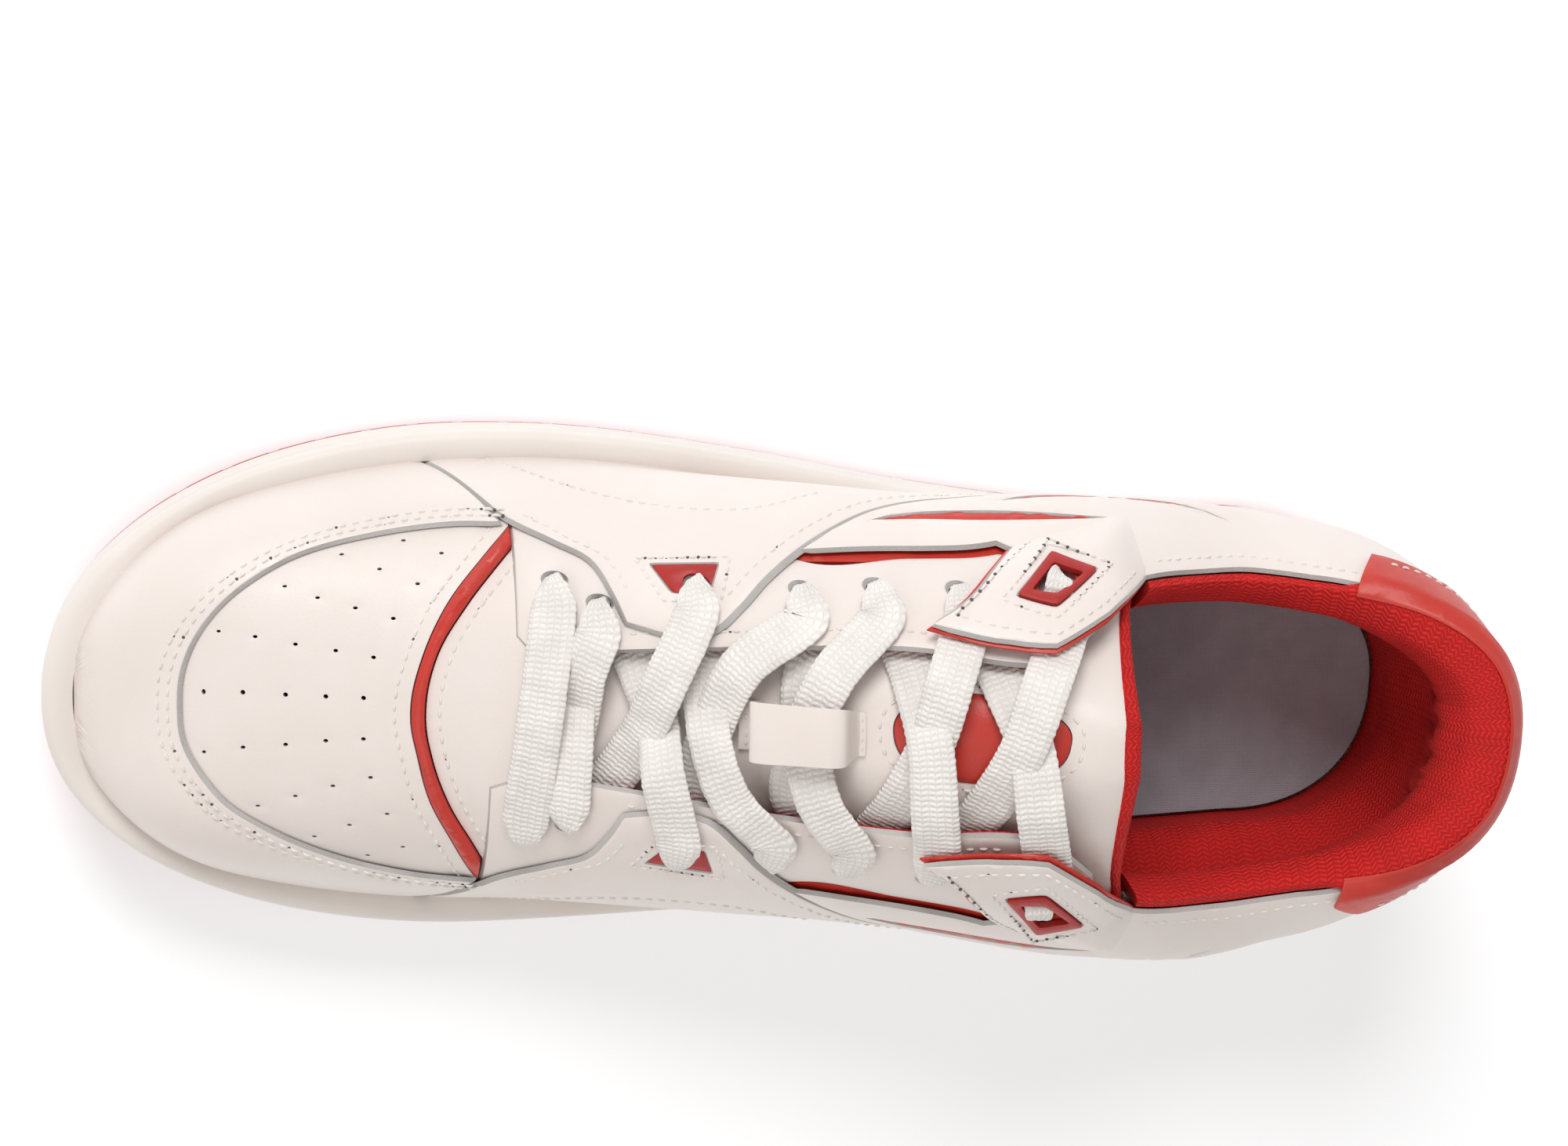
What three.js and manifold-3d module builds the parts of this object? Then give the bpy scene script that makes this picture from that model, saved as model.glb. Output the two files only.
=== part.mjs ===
// A low laced leather bowling shoe for the left foot, as its separate pieces.
//
// Frame, in millimetres: +Z is up and the tread rests on z = 0. The toe points to -X and the inner
// (medial) side of the foot is +Y. The origin is on the tread, half way along the shoe.
//
// Every piece of the upper is cut as a flat pattern and laid on the last. A pattern point is
// [u, w]: u runs from the toe (-152) to the heel and on round it (170), and w is the percent of the
// way down from the ridge line (0) to the sole edge (100). Heel pieces use [b, h] instead: b is the
// distance round from the middle of the heel, + on the medial side, and h the percent up from the
// sole edge. A third number is the height above the last, along its normal.

import * as THREE from 'three';
import Module from 'manifold-3d';

const wasm = await Module();
wasm.setup();

// ---- driving dimensions -------------------------------------------------------------------
const LENGTH = 304;          // toe to heel of the sole, European size 43
const WIDTH = 106;           // across the ball of the foot
const HEIGHT = 94;           // ground to the top of the heel
const TREAD = 3.0;           // outsole thickness
const GROOVE = 1.3;          // depth of the tread grooves
const BAR = 7.5;             // length of a tread bar
const GROOVE_WIDTH = 2.4;    // gap between two tread bars
const CUP_WALL = 4.3;        // thickness of the cupsole wall
const CUP_BEVEL = 1.7;       // how far the lip of the cup thins on the inside
const CUP_FLOOR = 6.0;       // thickness of the cupsole floor
const BOARD = 1.4;           // insole board
const FOOTBED = 3.6;         // loose footbed
const LEATHER = 1.2;         // upper leather
const LINING = 1.1;          // textile lining and stiffeners
const GAP = 0.5;             // clearance between two layers of the upper
const FIT = 0.35;            // clearance between two pieces side by side
const EYELET = 5.4;          // eyelet hole diameter
const LACE_WIDTH = 9.0;      // flat lace
const LACE_THICK = 1.3;
const LACE_NECK = 3.4;       // lace bunched in an eyelet
const TONGUE_FOAM = 3.2;     // tongue padding
const COLLAR_FOAM = 3.4;     // collar padding

// ---- layers of the upper, heights above the last ------------------------------------------
const BASE = [-LEATHER, 0];
const OVER = [GAP, GAP + LEATHER];
const BACKING = [LACE_THICK + 1.7, LACE_THICK + 2.5];
const STRAP = [BACKING[1] + GAP, BACKING[1] + GAP + LEATHER];
const HEEL = [OVER[1] + GAP + 0.2, OVER[1] + GAP + 0.2 + LEATHER];
const STIFF = [-LEATHER - 0.95 - LINING, -LEATHER - 0.95];
const INNER = [STIFF[0] - 0.7 - LINING, STIFF[0] - 0.7];
const LACE_UNDER = STIFF[0] - 0.9 - LACE_THICK / 2;
const TONGUE = [LACE_UNDER - LACE_THICK / 2 - 0.6 - LEATHER, LACE_UNDER - LACE_THICK / 2 - 0.6];
const TONGUE_PAD = [TONGUE[0] - GAP - TONGUE_FOAM, TONGUE[0] - GAP];
const TONGUE_BACK = [TONGUE_PAD[0] - GAP - LINING, TONGUE_PAD[0] - GAP];
const CUP_ROOM = LEATHER / 2;                // for the leather to turn inside the cup
const EDGE = CUP_WALL + CUP_ROOM + OVER[1];  // sole outline to the last

// ---- the last -----------------------------------------------------------------------------
const TOE = -152;            // first station, at the tip of the toe
const HEEL_START = 106;      // station where the sides begin to turn round the heel
const HEEL_TURN = 64;        // stations from there to the middle of the heel
const HEEL_MIDDLE = HEEL_START + HEEL_TURN;
const TOE_ROUND = 90;        // length over which the toe narrows
const STRETCH = LENGTH / 304;
const SPREAD = WIDTH / 106;
const RISE = HEIGHT / 94;

const clamp = THREE.MathUtils.clamp;
const ease = (x, a, b) => THREE.MathUtils.smoothstep(x, a, b);
const mix = THREE.MathUtils.lerp;
const range = (from, to, count) => Array.from({ length: count + 1 }, (_, i) => mix(from, to, i / count));

// A smooth curve through [station, value] points, level outside them.
function profile(points) {
  const slope = points.map((p, i) => {
    const a = points[Math.max(i - 1, 0)];
    const b = points[Math.min(i + 1, points.length - 1)];
    if (a === p || b === p) return (b[1] - a[1]) / (b[0] - a[0]);
    const before = (p[1] - a[1]) / (p[0] - a[0]);
    const after = (b[1] - p[1]) / (b[0] - p[0]);
    return (before * (b[0] - p[0]) + after * (p[0] - a[0])) / (b[0] - a[0]);
  });
  return (x) => {
    const at = clamp(x, points[0][0], points.at(-1)[0]);
    const i = clamp(points.findIndex((p) => p[0] > at) - 1, 0, points.length - 2);
    const k = at >= points.at(-1)[0] ? points.length - 2 : i;
    const [x0, y0] = points[k];
    const [x1, y1] = points[k + 1];
    const h = x1 - x0;
    const t = (at - x0) / h;
    const s = t * t * (3 - 2 * t);
    const rise0 = t * (1 - t) * (1 - t) * h * slope[k];
    const rise1 = t * t * (t - 1) * h * slope[k + 1];
    return y0 + (y1 - y0) * s + rise0 + rise1;
  };
}

// Half widths of the sole on the medial and lateral side, at its full width.
const medialHalf = profile([[-152, 50], [-100, 53], [-42, 54], [0, 48.5], [35, 42], [70, 37.5], [106, 36]]);
const lateralHalf = profile([[-152, 50], [-100, 51.5], [-60, 52], [-20, 50.5], [20, 48], [60, 46],
  [106, 43]]);
// Height of the ridge line over the toes, the instep and the tongue.
const ridgeLine = profile([[-152, 36], [-135, 43], [-120, 47.5], [-100, 51.5], [-80, 56], [-62, 61],
  [-45, 68], [-30, 76], [-10, 87], [10, 96], [30, 103.5], [50, 109], [65, 112], [106, 114]]);
// How far the sides swell out between the sole and the top.
const medialSwell = profile([[-60, 0], [-20, 4], [20, 9], [60, 14], [106, 9], [150, 3]]);
const lateralSwell = profile([[-60, 0], [-20, 4], [20, 9], [60, 16], [90, 18], [120, 11], [150, 3]]);
const leanIn = profile([[0, 0], [60, 3], [106, 3.5], [150, 2.5]]);
const wallTop = profile([[20, 96], [50, 90], [75, 82], [95, 80], [120, 86], [150, 93], [170, 94]]);
const squareness = profile([[-152, 4], [-132, 3.3], [-110, 2.6], [-85, 2.3], [-40, 2.25], [20, 2.2],
  [60, 2.4]]);
const collarLine = profile([[58, 38], [68, 35], [84, 30], [104, 28], [125, 24], [170, 22]]);

const toeSpring = (u) => 12 * RISE * Math.max((-70 - u) / 82, 0) ** 2;
const featherEdge = (u) => RISE * (14 + 7 * ease(u, -20, 110)) + toeSpring(u);
const rimHeight = (u) => RISE * (26 + 8 * ease(u, -40, 120)) + 0.75 * toeSpring(u);
const roundOff = (d, n) => (1 - clamp(d, 0, 1) ** n) ** (1 / n);

// Outline of the shoe in plan, moved in by inset: [x, half width, distance behind the heel start].
function plan(u, side, inset) {
  const f = Math.min(u, HEEL_START);
  const x = f * STRETCH + inset * (1 - ease(u, TOE, TOE + 40));
  const full = (side > 0 ? medialHalf(f) : lateralHalf(f)) * SPREAD - inset;
  const half = full * roundOff((TOE_ROUND - (f - TOE)) / TOE_ROUND, 2.2);
  const turn = clamp((u - HEEL_START) / HEEL_TURN, 0, 1) * Math.PI / 2;
  const depth = LENGTH / 2 - inset - HEEL_START * STRETCH;
  return [x, half * Math.cos(turn) ** (2 / 2.25), depth * Math.sin(turn) ** (2 / 2.25)];
}

// The last itself: an arch over the foot that opens into upright walls behind the instep.
function last(u, side, up, opening = 1) {
  const [x, half, behind] = plan(u, side, EDGE);
  const f = Math.min(u, HEEL_START);
  const foot = featherEdge(f);
  const crown = RISE * ridgeLine(f);
  const wall = RISE * wallTop(u);
  const angle = clamp(up, 0, 1) * Math.PI / 2;
  const power = 2 / squareness(f);
  const height = (crown - foot) * roundOff((6 - (f - TOE)) / 6, 2) ** 0.7;
  const archIn = Math.max(Math.cos(angle), 0) ** power;
  const reach = Math.max(Math.hypot(half, behind), 1e-6);
  const open = ease(u, 30, 95) * opening;
  const wallIn = 1 - leanIn(u) * Math.max(up * 1.25, 0) ** 3 / reach;
  const z = mix(foot + height * Math.sin(angle) ** power, foot + (wall - foot) * up * 1.25, open);
  const top = mix(crown, wall, open);
  const share = clamp((z - rimHeight(f) - 2.5) / (top - rimHeight(f) - 5), 0, 1);
  const swell = (side > 0 ? medialSwell(u) : lateralSwell(u)) * SPREAD;
  const bulge = swell * Math.sin(Math.PI * share ** 0.85) ** 1.2 / reach;
  const k = mix(archIn, wallIn, open) + bulge * mix(archIn, 1, open);
  return new THREE.Vector3(x + behind * k, side * half * k, z);
}

// A chart lays [p, q, height] on the last along the outward normal.
function chart(point) {
  const step = 0.4;
  return (p, q, height) => {
    const along = point(p + step, q).sub(point(p - step, q));
    const across = point(p, q + step).sub(point(p, q - step));
    return point(p, q).addScaledVector(along.cross(across).normalize(), height);
  };
}
const sideOf = (w) => (w < 0 ? -1 : 1);
const upper = chart((u, w) => last(u, sideOf(w), 1 - Math.abs(w) / 100));
// Over the throat the sides stay closed in an arch, which the tongue and the laces follow.
const throat = chart((u, w) => last(u, sideOf(w), 1 - Math.abs(w) / 100, ease(Math.abs(w), 8, 32)));
const heel = chart((b, h) => last(HEEL_MIDDLE - Math.abs(b), sideOf(b), h / 100));

// ---- making solids ------------------------------------------------------------------------
const shoe = new THREE.Group();

function look(colour, roughness) {
  return new THREE.MeshStandardMaterial({ color: colour, roughness, metalness: 0 });
}
const whiteLeather = () => look(0xe9e1da, 0.5);
const redLeather = () => look(0xb32a20, 0.5);
const redKnit = () => look(0xa3221c, 0.9);
const whiteRubber = () => look(0xece8e2, 0.6);
const redRubber = () => look(0xb5281f, 0.55);
const foamLook = () => look(0xd9d2c4, 0.95);

// Joins vertices closer than a few microns, looking in the neighbouring cells of a grid as well.
function weld(geometry) {
  const cell = 0.01;
  const seen = new Map();
  const spots = [];
  const index = [];
  const from = geometry.index ? geometry.toNonIndexed().attributes.position : geometry.attributes.position;
  const near = [-1, 0, 1];
  for (let i = 0; i < from.count; i += 1) {
    const p = new THREE.Vector3().fromBufferAttribute(from, i);
    const [cx, cy, cz] = [p.x, p.y, p.z].map((v) => Math.round(v / cell));
    let match = -1;
    for (const dx of near) {
      for (const dy of near) {
        for (const dz of near) {
          const k = seen.get(`${cx + dx},${cy + dy},${cz + dz}`);
          if (k !== undefined && spots[k].distanceTo(p) < cell) match = k;
        }
      }
    }
    if (match < 0) {
      match = spots.push(p) - 1;
      seen.set(`${cx},${cy},${cz}`, match);
    }
    index.push(match);
  }
  const kept = [];
  for (let i = 0; i < index.length; i += 3) {
    const [a, b, c] = index.slice(i, i + 3);
    if (a !== b && b !== c && c !== a) kept.push(a, b, c);
  }
  const joined = new THREE.BufferGeometry();
  joined.setAttribute('position', new THREE.Float32BufferAttribute(spots.flatMap((p) => [p.x, p.y, p.z]), 3));
  joined.setIndex(kept);
  joined.computeVertexNormals();
  return joined;
}

function add(name, geometry, material) {
  const mesh = new THREE.Mesh(weld(geometry), material);
  mesh.name = name;
  shoe.add(mesh);
  return mesh;
}

// A closed pattern from runs of points. Each run is smooth, and runs meet in corners.
function pattern(...runs) {
  const shape = new THREE.Shape();
  shape.moveTo(...runs[0][0]);
  runs.forEach((run, i) => {
    if (i > 0) shape.lineTo(...run[0]);
    if (run.length === 2) shape.lineTo(...run[1]);
    if (run.length > 2) shape.splineThru(run.slice(1).map((p) => new THREE.Vector2(...p)));
  });
  return shape;
}
const mirror = (side, points) => points.map(([u, w]) => [u, side * w]);

function roundHole([u, w], diameter, sides = 8) {
  const hole = new THREE.Path();
  hole.absellipse(u, w, diameter / 2, diameter / 2, 0, 2 * Math.PI);
  return new THREE.Path(hole.getPoints(sides));
}

// The grid on which every sheet is bent. All layers bend along the same lines, so they stay parallel.
const steps = (from, to, step) => range(from, to, Math.ceil((to - from) / step));
const lines = [...steps(-150.3, -97.3, 11), ...steps(-84, HEEL_MIDDLE - 6, 13.4)];
const rows = [0, 12, 24.3, 36.6, 49, 60.3, 71, 80, 88];
const bothWays = (values) => [...values.map((v) => -v).reverse(), ...values];
const upperGrid = [lines, bothWays(rows)];
const turnLines = lines.filter((u) => u > 60).map((u) => HEEL_MIDDLE - u).reverse();
const heelGrid = [bothWays(turnLines), rows.map((w) => 100 - w).reverse()];

function asSolid(geometry) {
  const joined = weld(geometry);
  return new wasm.Manifold(new wasm.Mesh({
    numProp: 3,
    vertProperties: Float32Array.from(joined.attributes.position.array),
    triVerts: Uint32Array.from(joined.index.array),
  }));
}

// Cuts a solid into slices along one direction at each of the given places.
function slices(solid, direction, places) {
  const parts = [];
  let rest = solid;
  places.forEach((place) => {
    const [beyond, before] = rest.splitByPlane(direction, place);
    if (!before.isEmpty()) parts.push(before);
    rest = beyond;
  });
  if (!rest.isEmpty()) parts.push(rest);
  return parts;
}

// A sheet cut to a pattern and laid on the last between two heights.
function sheet(shape, on, [low, high], grid = upperGrid) {
  const block = (outline, depth) => asSolid(new THREE.ExtrudeGeometry(
    new THREE.Shape(outline),
    { depth, bevelEnabled: false },
  ).translate(0, 0, (1 - depth) / 2));
  const { shape: edge, holes } = shape.extractPoints(3);
  const whole = holes.reduce((left, hole) => left.subtract(block(hole, 2)), block(edge, 1));
  const cells = slices(whole, [1, 0, 0], grid[0])
    .flatMap((strip) => slices(strip, [0, 1, 0], grid[1]));
  const faces = [];
  cells.forEach((cell) => {
    const { vertProperties: v, triVerts: t, numProp } = cell.getMesh();
    for (let i = 0; i < t.length; i += 3) {
      const corners = [0, 1, 2].map((k) => [...v.slice(t[i + k] * numProp, t[i + k] * numProp + 3)]);
      if (corners.every((p) => p[2] > 0.5)) faces.push(...corners.map(([x, y]) => [x, y, 0]));
    }
  });
  const flat = new THREE.BufferGeometry();
  flat.setAttribute('position', new THREE.Float32BufferAttribute(faces.flat(), 3));
  const top = healed(weld(flat));
  return thicken(top, (p) => on(p.x, p.y, low), (p) => on(p.x, p.y, high));
}

// Splits the triangles of a flat mesh wherever a vertex of a neighbour lies on one of their edges.
function healed(flat) {
  const spots = flat.attributes.position;
  const points = range(0, spots.count - 1, spots.count - 1)
    .map((i) => new THREE.Vector3().fromBufferAttribute(spots, Math.round(i)));
  const queue = [];
  for (let i = 0; i < flat.index.count; i += 3) {
    queue.push([0, 1, 2].map((k) => flat.index.getX(i + k)));
  }
  const kept = [];
  const thin = ([a, b, c]) => {
    const across = points[b].clone().sub(points[a]).cross(points[c].clone().sub(points[a])).length();
    const longest = Math.max(points[a].distanceTo(points[b]), points[b].distanceTo(points[c]),
      points[c].distanceTo(points[a]));
    return across / longest < 0.004;
  };
  const within = (v, a, b) => {
    const run = points[b].clone().sub(points[a]);
    const off = points[v].clone().sub(points[a]);
    const t = off.dot(run) / run.lengthSq();
    return t > 0 && t < 1 && off.addScaledVector(run, -t).length() < 0.004;
  };
  while (queue.length) {
    const [a, b, c] = queue.pop();
    if (thin([a, b, c])) continue;
    const split = [[a, b, c], [b, c, a], [c, a, b]].map(([m, n, o]) => {
      const v = points.findIndex((_, k) => k !== m && k !== n && k !== o && within(k, m, n));
      return v < 0 ? null : [[m, v, o], [v, n, o]];
    }).find((pair) => pair);
    if (split) queue.push(...split);
    else kept.push(a, b, c);
  }
  flat.setIndex(kept);
  return flat;
}

// Closes a flat mesh into a solid between its two laid faces, with walls along its free edges.
function thicken(top, under, over) {
  const count = top.attributes.position.count;
  const spots = [];
  [over, under].forEach((place) => {
    for (let i = 0; i < count; i += 1) {
      spots.push(place(new THREE.Vector3().fromBufferAttribute(top.attributes.position, i)));
    }
  });
  const edges = new Set();
  const index = [];
  for (let i = 0; i < top.index.count; i += 3) {
    const [a, b, c] = [0, 1, 2].map((k) => top.index.getX(i + k));
    index.push(a, b, c, c + count, b + count, a + count);
    [[a, b], [b, c], [c, a]].forEach(([m, n]) => edges.add(`${m} ${n}`));
  }
  edges.forEach((edge) => {
    const [m, n] = edge.split(' ').map(Number);
    if (!edges.has(`${n} ${m}`)) index.push(m, m + count, n + count, m, n + count, n);
  });
  const solid = new THREE.BufferGeometry();
  solid.setAttribute('position', new THREE.Float32BufferAttribute(spots.flatMap((p) => [p.x, p.y, p.z]), 3));
  solid.setIndex(index);
  return solid;
}

// A closed grid: rings of points joined in turn, its two ends closed by the triangles of cap.
function loft(rings, cap) {
  const size = rings[0].length;
  const index = [];
  for (let r = 0; r + 1 < rings.length; r += 1) {
    for (let i = 0; i < size; i += 1) {
      const j = (i + 1) % size;
      const [a, b] = [r * size + i, r * size + j];
      index.push(a, b, b + size, a, b + size, a + size);
    }
  }
  const end = (rings.length - 1) * size;
  cap.forEach(([a, b, c]) => index.push(c, b, a, a + end, b + end, c + end));
  const spots = rings.flat().flatMap((p) => [p.x, p.y, p.z]);
  const grid = new THREE.BufferGeometry();
  grid.setAttribute('position', new THREE.Float32BufferAttribute(spots, 3));
  grid.setIndex(index);
  return grid;
}

// A section of [a, height] points carried along the stations of a chart.
function carry(section, stations, place) {
  const flat = section(stations[0]).map((p) => new THREE.Vector2(...p));
  const cap = THREE.ShapeUtils.triangulateShape(flat, []);
  return loft(stations.map((s) => section(s).map(([a, height]) => place(a, s, height))), cap);
}

// ---- the sole -----------------------------------------------------------------------------
const toeStations = range(0, 1, 9).map((t) => TOE + 44 * t * t);
const soleStations = [...toeStations, ...range(-97, HEEL_START, 18),
  ...range(0, 1, 8).slice(1).map((t) => HEEL_START + HEEL_TURN * t)];

// A ring of points round the sole at one inset, medial side first, and the bars that close it.
function outline(stations, inset, height) {
  const spot = (u, side, i) => {
    const [x, half, behind] = plan(u, side, inset);
    return new THREE.Vector3(x + behind, side * half, height(u, i));
  };
  const medial = stations.map((u, i) => spot(u, 1, i));
  const lateral = stations.map((u, i) => spot(u, -1, i)).slice(1, -1).reverse();
  return [...lateral, ...medial].reverse();
}
function rungs(count) {
  const size = 2 * count - 2;
  const medial = (i) => count - 1 - i;
  const lateral = (i) => (i === 0 || i === count - 1 ? medial(i) : count - 1 + i);
  const cap = [];
  for (let i = 0; i + 1 < count; i += 1) {
    cap.push([medial(i), lateral(i) % size, lateral(i + 1) % size]);
    cap.push([medial(i), lateral(i + 1) % size, medial(i + 1)]);
  }
  return cap;
}
function slab(stations, rings) {
  return loft(rings.map(([inset, height]) => outline(stations, inset, height)), rungs(stations.length));
}

// Outsole: transverse bars with open grooves between them, under an even plate.
const barPitch = BAR + GROOVE_WIDTH;
const firstBar = -12 * barPitch - GROOVE_WIDTH - BAR / 2;   // so that a bar is centred on the origin
const barCount = Math.floor((HEEL_START + 30 - firstBar) / barPitch);
const treadStations = toeStations.slice(0, 6);
const inGroove = treadStations.map(() => false);
for (let i = 0; i < barCount; i += 1) {
  const start = firstBar + i * barPitch;
  treadStations.push(start, start, start + GROOVE_WIDTH, start + GROOVE_WIDTH);
  inGroove.push(false, true, true, false);
}
range(firstBar + barCount * barPitch + 4, HEEL_MIDDLE, 4).forEach((u) => {
  treadStations.push(u);
  inGroove.push(false);
});
add('outsole_tread', slab(treadStations, [
  [0.6, (u, i) => toeSpring(u) + (inGroove[i] ? GROOVE : 0)],
  [0, (u) => toeSpring(u) + (GROOVE + TREAD) / 2],
  [0.3, (u) => toeSpring(u) + TREAD],
]), redRubber());

// Cupsole: a rubber cup whose wall rises round the foot to a rounded rim.
const cupLow = (u) => toeSpring(u) + TREAD + FIT;
const cupTop = (u) => cupLow(u) + CUP_FLOOR;
add('cupsole', slab(soleStations, [
  [1.2, cupLow],
  [0, (u) => cupLow(u) + 1.5],
  [0, (u) => rimHeight(u) - 1.2],
  [1.1, rimHeight],
  [CUP_WALL - CUP_BEVEL, rimHeight],
  [CUP_WALL, (u) => rimHeight(u) - 5],
  [CUP_WALL, cupTop],
]), whiteRubber());

// Inside the cup: foam that lifts the heel, the insole board, then the loose footbed.
add('midsole_foam', slab(soleStations, [
  [CUP_WALL + FIT, (u) => cupTop(u) + FIT],
  [CUP_WALL + FIT, (u) => featherEdge(u) - FIT],
]), foamLook());
const insideLast = EDGE - INNER[0] + FIT;
// A lower last curves in sooner over the footbed, whose thickness does not change.
const tuckIn = 2 * (BOARD + FIT + FOOTBED) * Math.max(1 / RISE - 1, 0);
add('insole_board', slab(soleStations, [
  [insideLast + 0.8, (u) => featherEdge(u)],
  [insideLast + 0.8, (u) => featherEdge(u) + BOARD],
]), look(0xb9a88c, 0.9));
add('footbed', slab(soleStations, [
  [insideLast + 1.6 + tuckIn, (u) => featherEdge(u) + BOARD + FIT],
  [insideLast + 0.9 + tuckIn, (u) => featherEdge(u) + BOARD + FIT + FOOTBED],
  [insideLast + 2.6 + tuckIn, (u) => featherEdge(u) + BOARD + FIT + FOOTBED],
  [insideLast + 6.0 + tuckIn, (u) => featherEdge(u) + BOARD + FIT + FOOTBED * 0.8],
]), look(0x55565a, 0.9));

// ---- the front ----------------------------------------------------------------------------
const TIP = TOE + 1.2;       // where the upper starts behind the toe of the cup
const SKIRT = 97;            // how far the upper reaches down inside the cup

// The red piping is a crescent between two arcs, wider on the lateral side.
const pipingFront = [[-57.5, 54], [-63, 43], [-70.5, 28], [-75.5, 13.5], [-78, 0], [-76.5, -11],
  [-74, -24], [-69, -40], [-63, -62]];
const pipingBack = [[-63, -50], [-65.5, -41], [-70.5, -26], [-74, -12], [-75.5, 0], [-73, 14],
  [-67, 28], [-62, 38], [-57.5, 47]];
const shift = (points, by) => points.map(([u, w]) => [u + by, w]);

const toePanel = pattern(
  shift(pipingFront, -FIT),
  [[-63.5, -SKIRT], [TIP, -SKIRT]],
  [[TIP, SKIRT], [-58.5, SKIRT]],
);
// Five fans of vent holes, each row one hole longer towards the middle.
const fans = [
  [[-71.5, 44], [-79, 49]],
  [[-76.5, 34], [-84, 39], [-91.5, 45]],
  [[-81.5, 23.5], [-89, 26.5], [-96.5, 30], [-103, 34.5]],
  [[-85.5, 12.5], [-93, 14], [-101, 15.5], [-109, 17.5], [-116.5, 19]],
  [[-87.5, 2.5], [-95, 2.5], [-103, 2.5], [-111.5, 2.5], [-120, 2]],
  [[-87.5, -6], [-95, -6.5], [-103, -7.5], [-111.5, -8], [-120, -9]],
  [[-86, -17], [-93.5, -20], [-101, -24], [-108.5, -28.5]],
  [[-82.5, -29.5], [-90, -34.5], [-97, -41]],
  [[-79, -43.5], [-86, -49]],
];
fans.flat().forEach((spot) => toePanel.holes.push(roundHole(spot, 2.0, 5)));
add('vamp_toe_panel', sheet(toePanel, upper, BASE), whiteLeather());

const arcIn = [[-59.5, 54], [-69, 54], [-84, 51.5], [-100, 46], [-111, 36], [-120, 21], [-125, 7],
  [-126, 0], [-125, -6], [-120, -18], [-113.5, -30], [-102.5, -42], [-91.5, -50], [-77, -57],
  [-64, -60]];
add('toe_mudguard', sheet(pattern(
  arcIn,
  [[-67.5, -68], [-75, -86]], [[-79, -SKIRT], [TIP, -SKIRT]],
  [[TIP, SKIRT], [-77.5, SKIRT]], [[-73.5, 86]],
), upper, OVER), whiteLeather());

add('vamp_piping', sheet(pattern(pipingFront, pipingBack), upper, [BASE[0], 1.1]), redLeather());
add('vamp_throat', sheet(pattern(
  shift(pipingBack, FIT),
  [[-60, 16], [-57.5, 13]], [[-55.5, 6], [-55.5, -6]], [[-57.5, -13], [-63.5, -17]],
), upper, BASE), whiteLeather());
add('toe_puff', sheet(pattern([[-112, 84], [-112, -84]], [[TIP, -84]], [[TIP, 84]]),
  upper, STIFF), look(0xcfc6b4, 0.9));
// The lining stops clear of the footbed, which keeps its thickness on a lower or higher last.
const liningFoot = 100 - 10 / RISE ** 1.3;
add('vamp_lining', sheet(pattern(
  [[-66, liningFoot], [-66, -liningFoot]], [[TIP, -liningFoot]], [[TIP, liningFoot]],
), upper, INNER), redKnit());

// ---- the sides, once for each -------------------------------------------------------------
const eyelets = {
  medial: [[-49.5, 36], [-41, 30], [-22, 38], [-2, 40.5], [12.5, 43.5], [28.5, 45], [47, 41]],
  lateral: [[-54.5, -37], [-46.5, -30.5], [-24.5, -39.5], [-7, -40.5], [8, -42], [24, -43], [45.5, -41.5]],
};
const throatEdge = [[-54, 15], [-36, 18], [-22, 21], [-6, 24.5], [20, 28.5], [36, 26], [43, 23.5]];
const saddleFront = [[-72, 86], [-58, 56], [-49, 47.5], [-42, 42], [-38, 33], [-35.5, 25]];
const saddleBack = [[-20, 25.5], [-14, 33.5], [-9, 41.5], [-2, 50], [6, 57.5], [15, 64.5], [26, 70.5],
  [42, 75.5]];
const saddleWindow = [[-31, 42], [-17, 44.5], [-19.5, 35], [-27, 34]];
const diamond = [[38, 39.5], [45.5, 34.5], [55.5, 41], [47, 49]];
const bottomSeam = [[42 + FIT, SKIRT], [HEEL_MIDDLE - 1.5, SKIRT]];
const shrink = (points, by) => {
  const middle = points.reduce(([a, b], [u, w]) => [a + u / points.length, b + w / points.length], [0, 0]);
  return points.map(([u, w]) => {
    const far = Math.hypot(u - middle[0], w - middle[1]);
    return [mix(middle[0], u, 1 - by / far), mix(middle[1], w, 1 - by / far)];
  });
};
const closedPath = (points) => new THREE.Path(points.map((p) => new THREE.Vector2(...p)));

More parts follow.
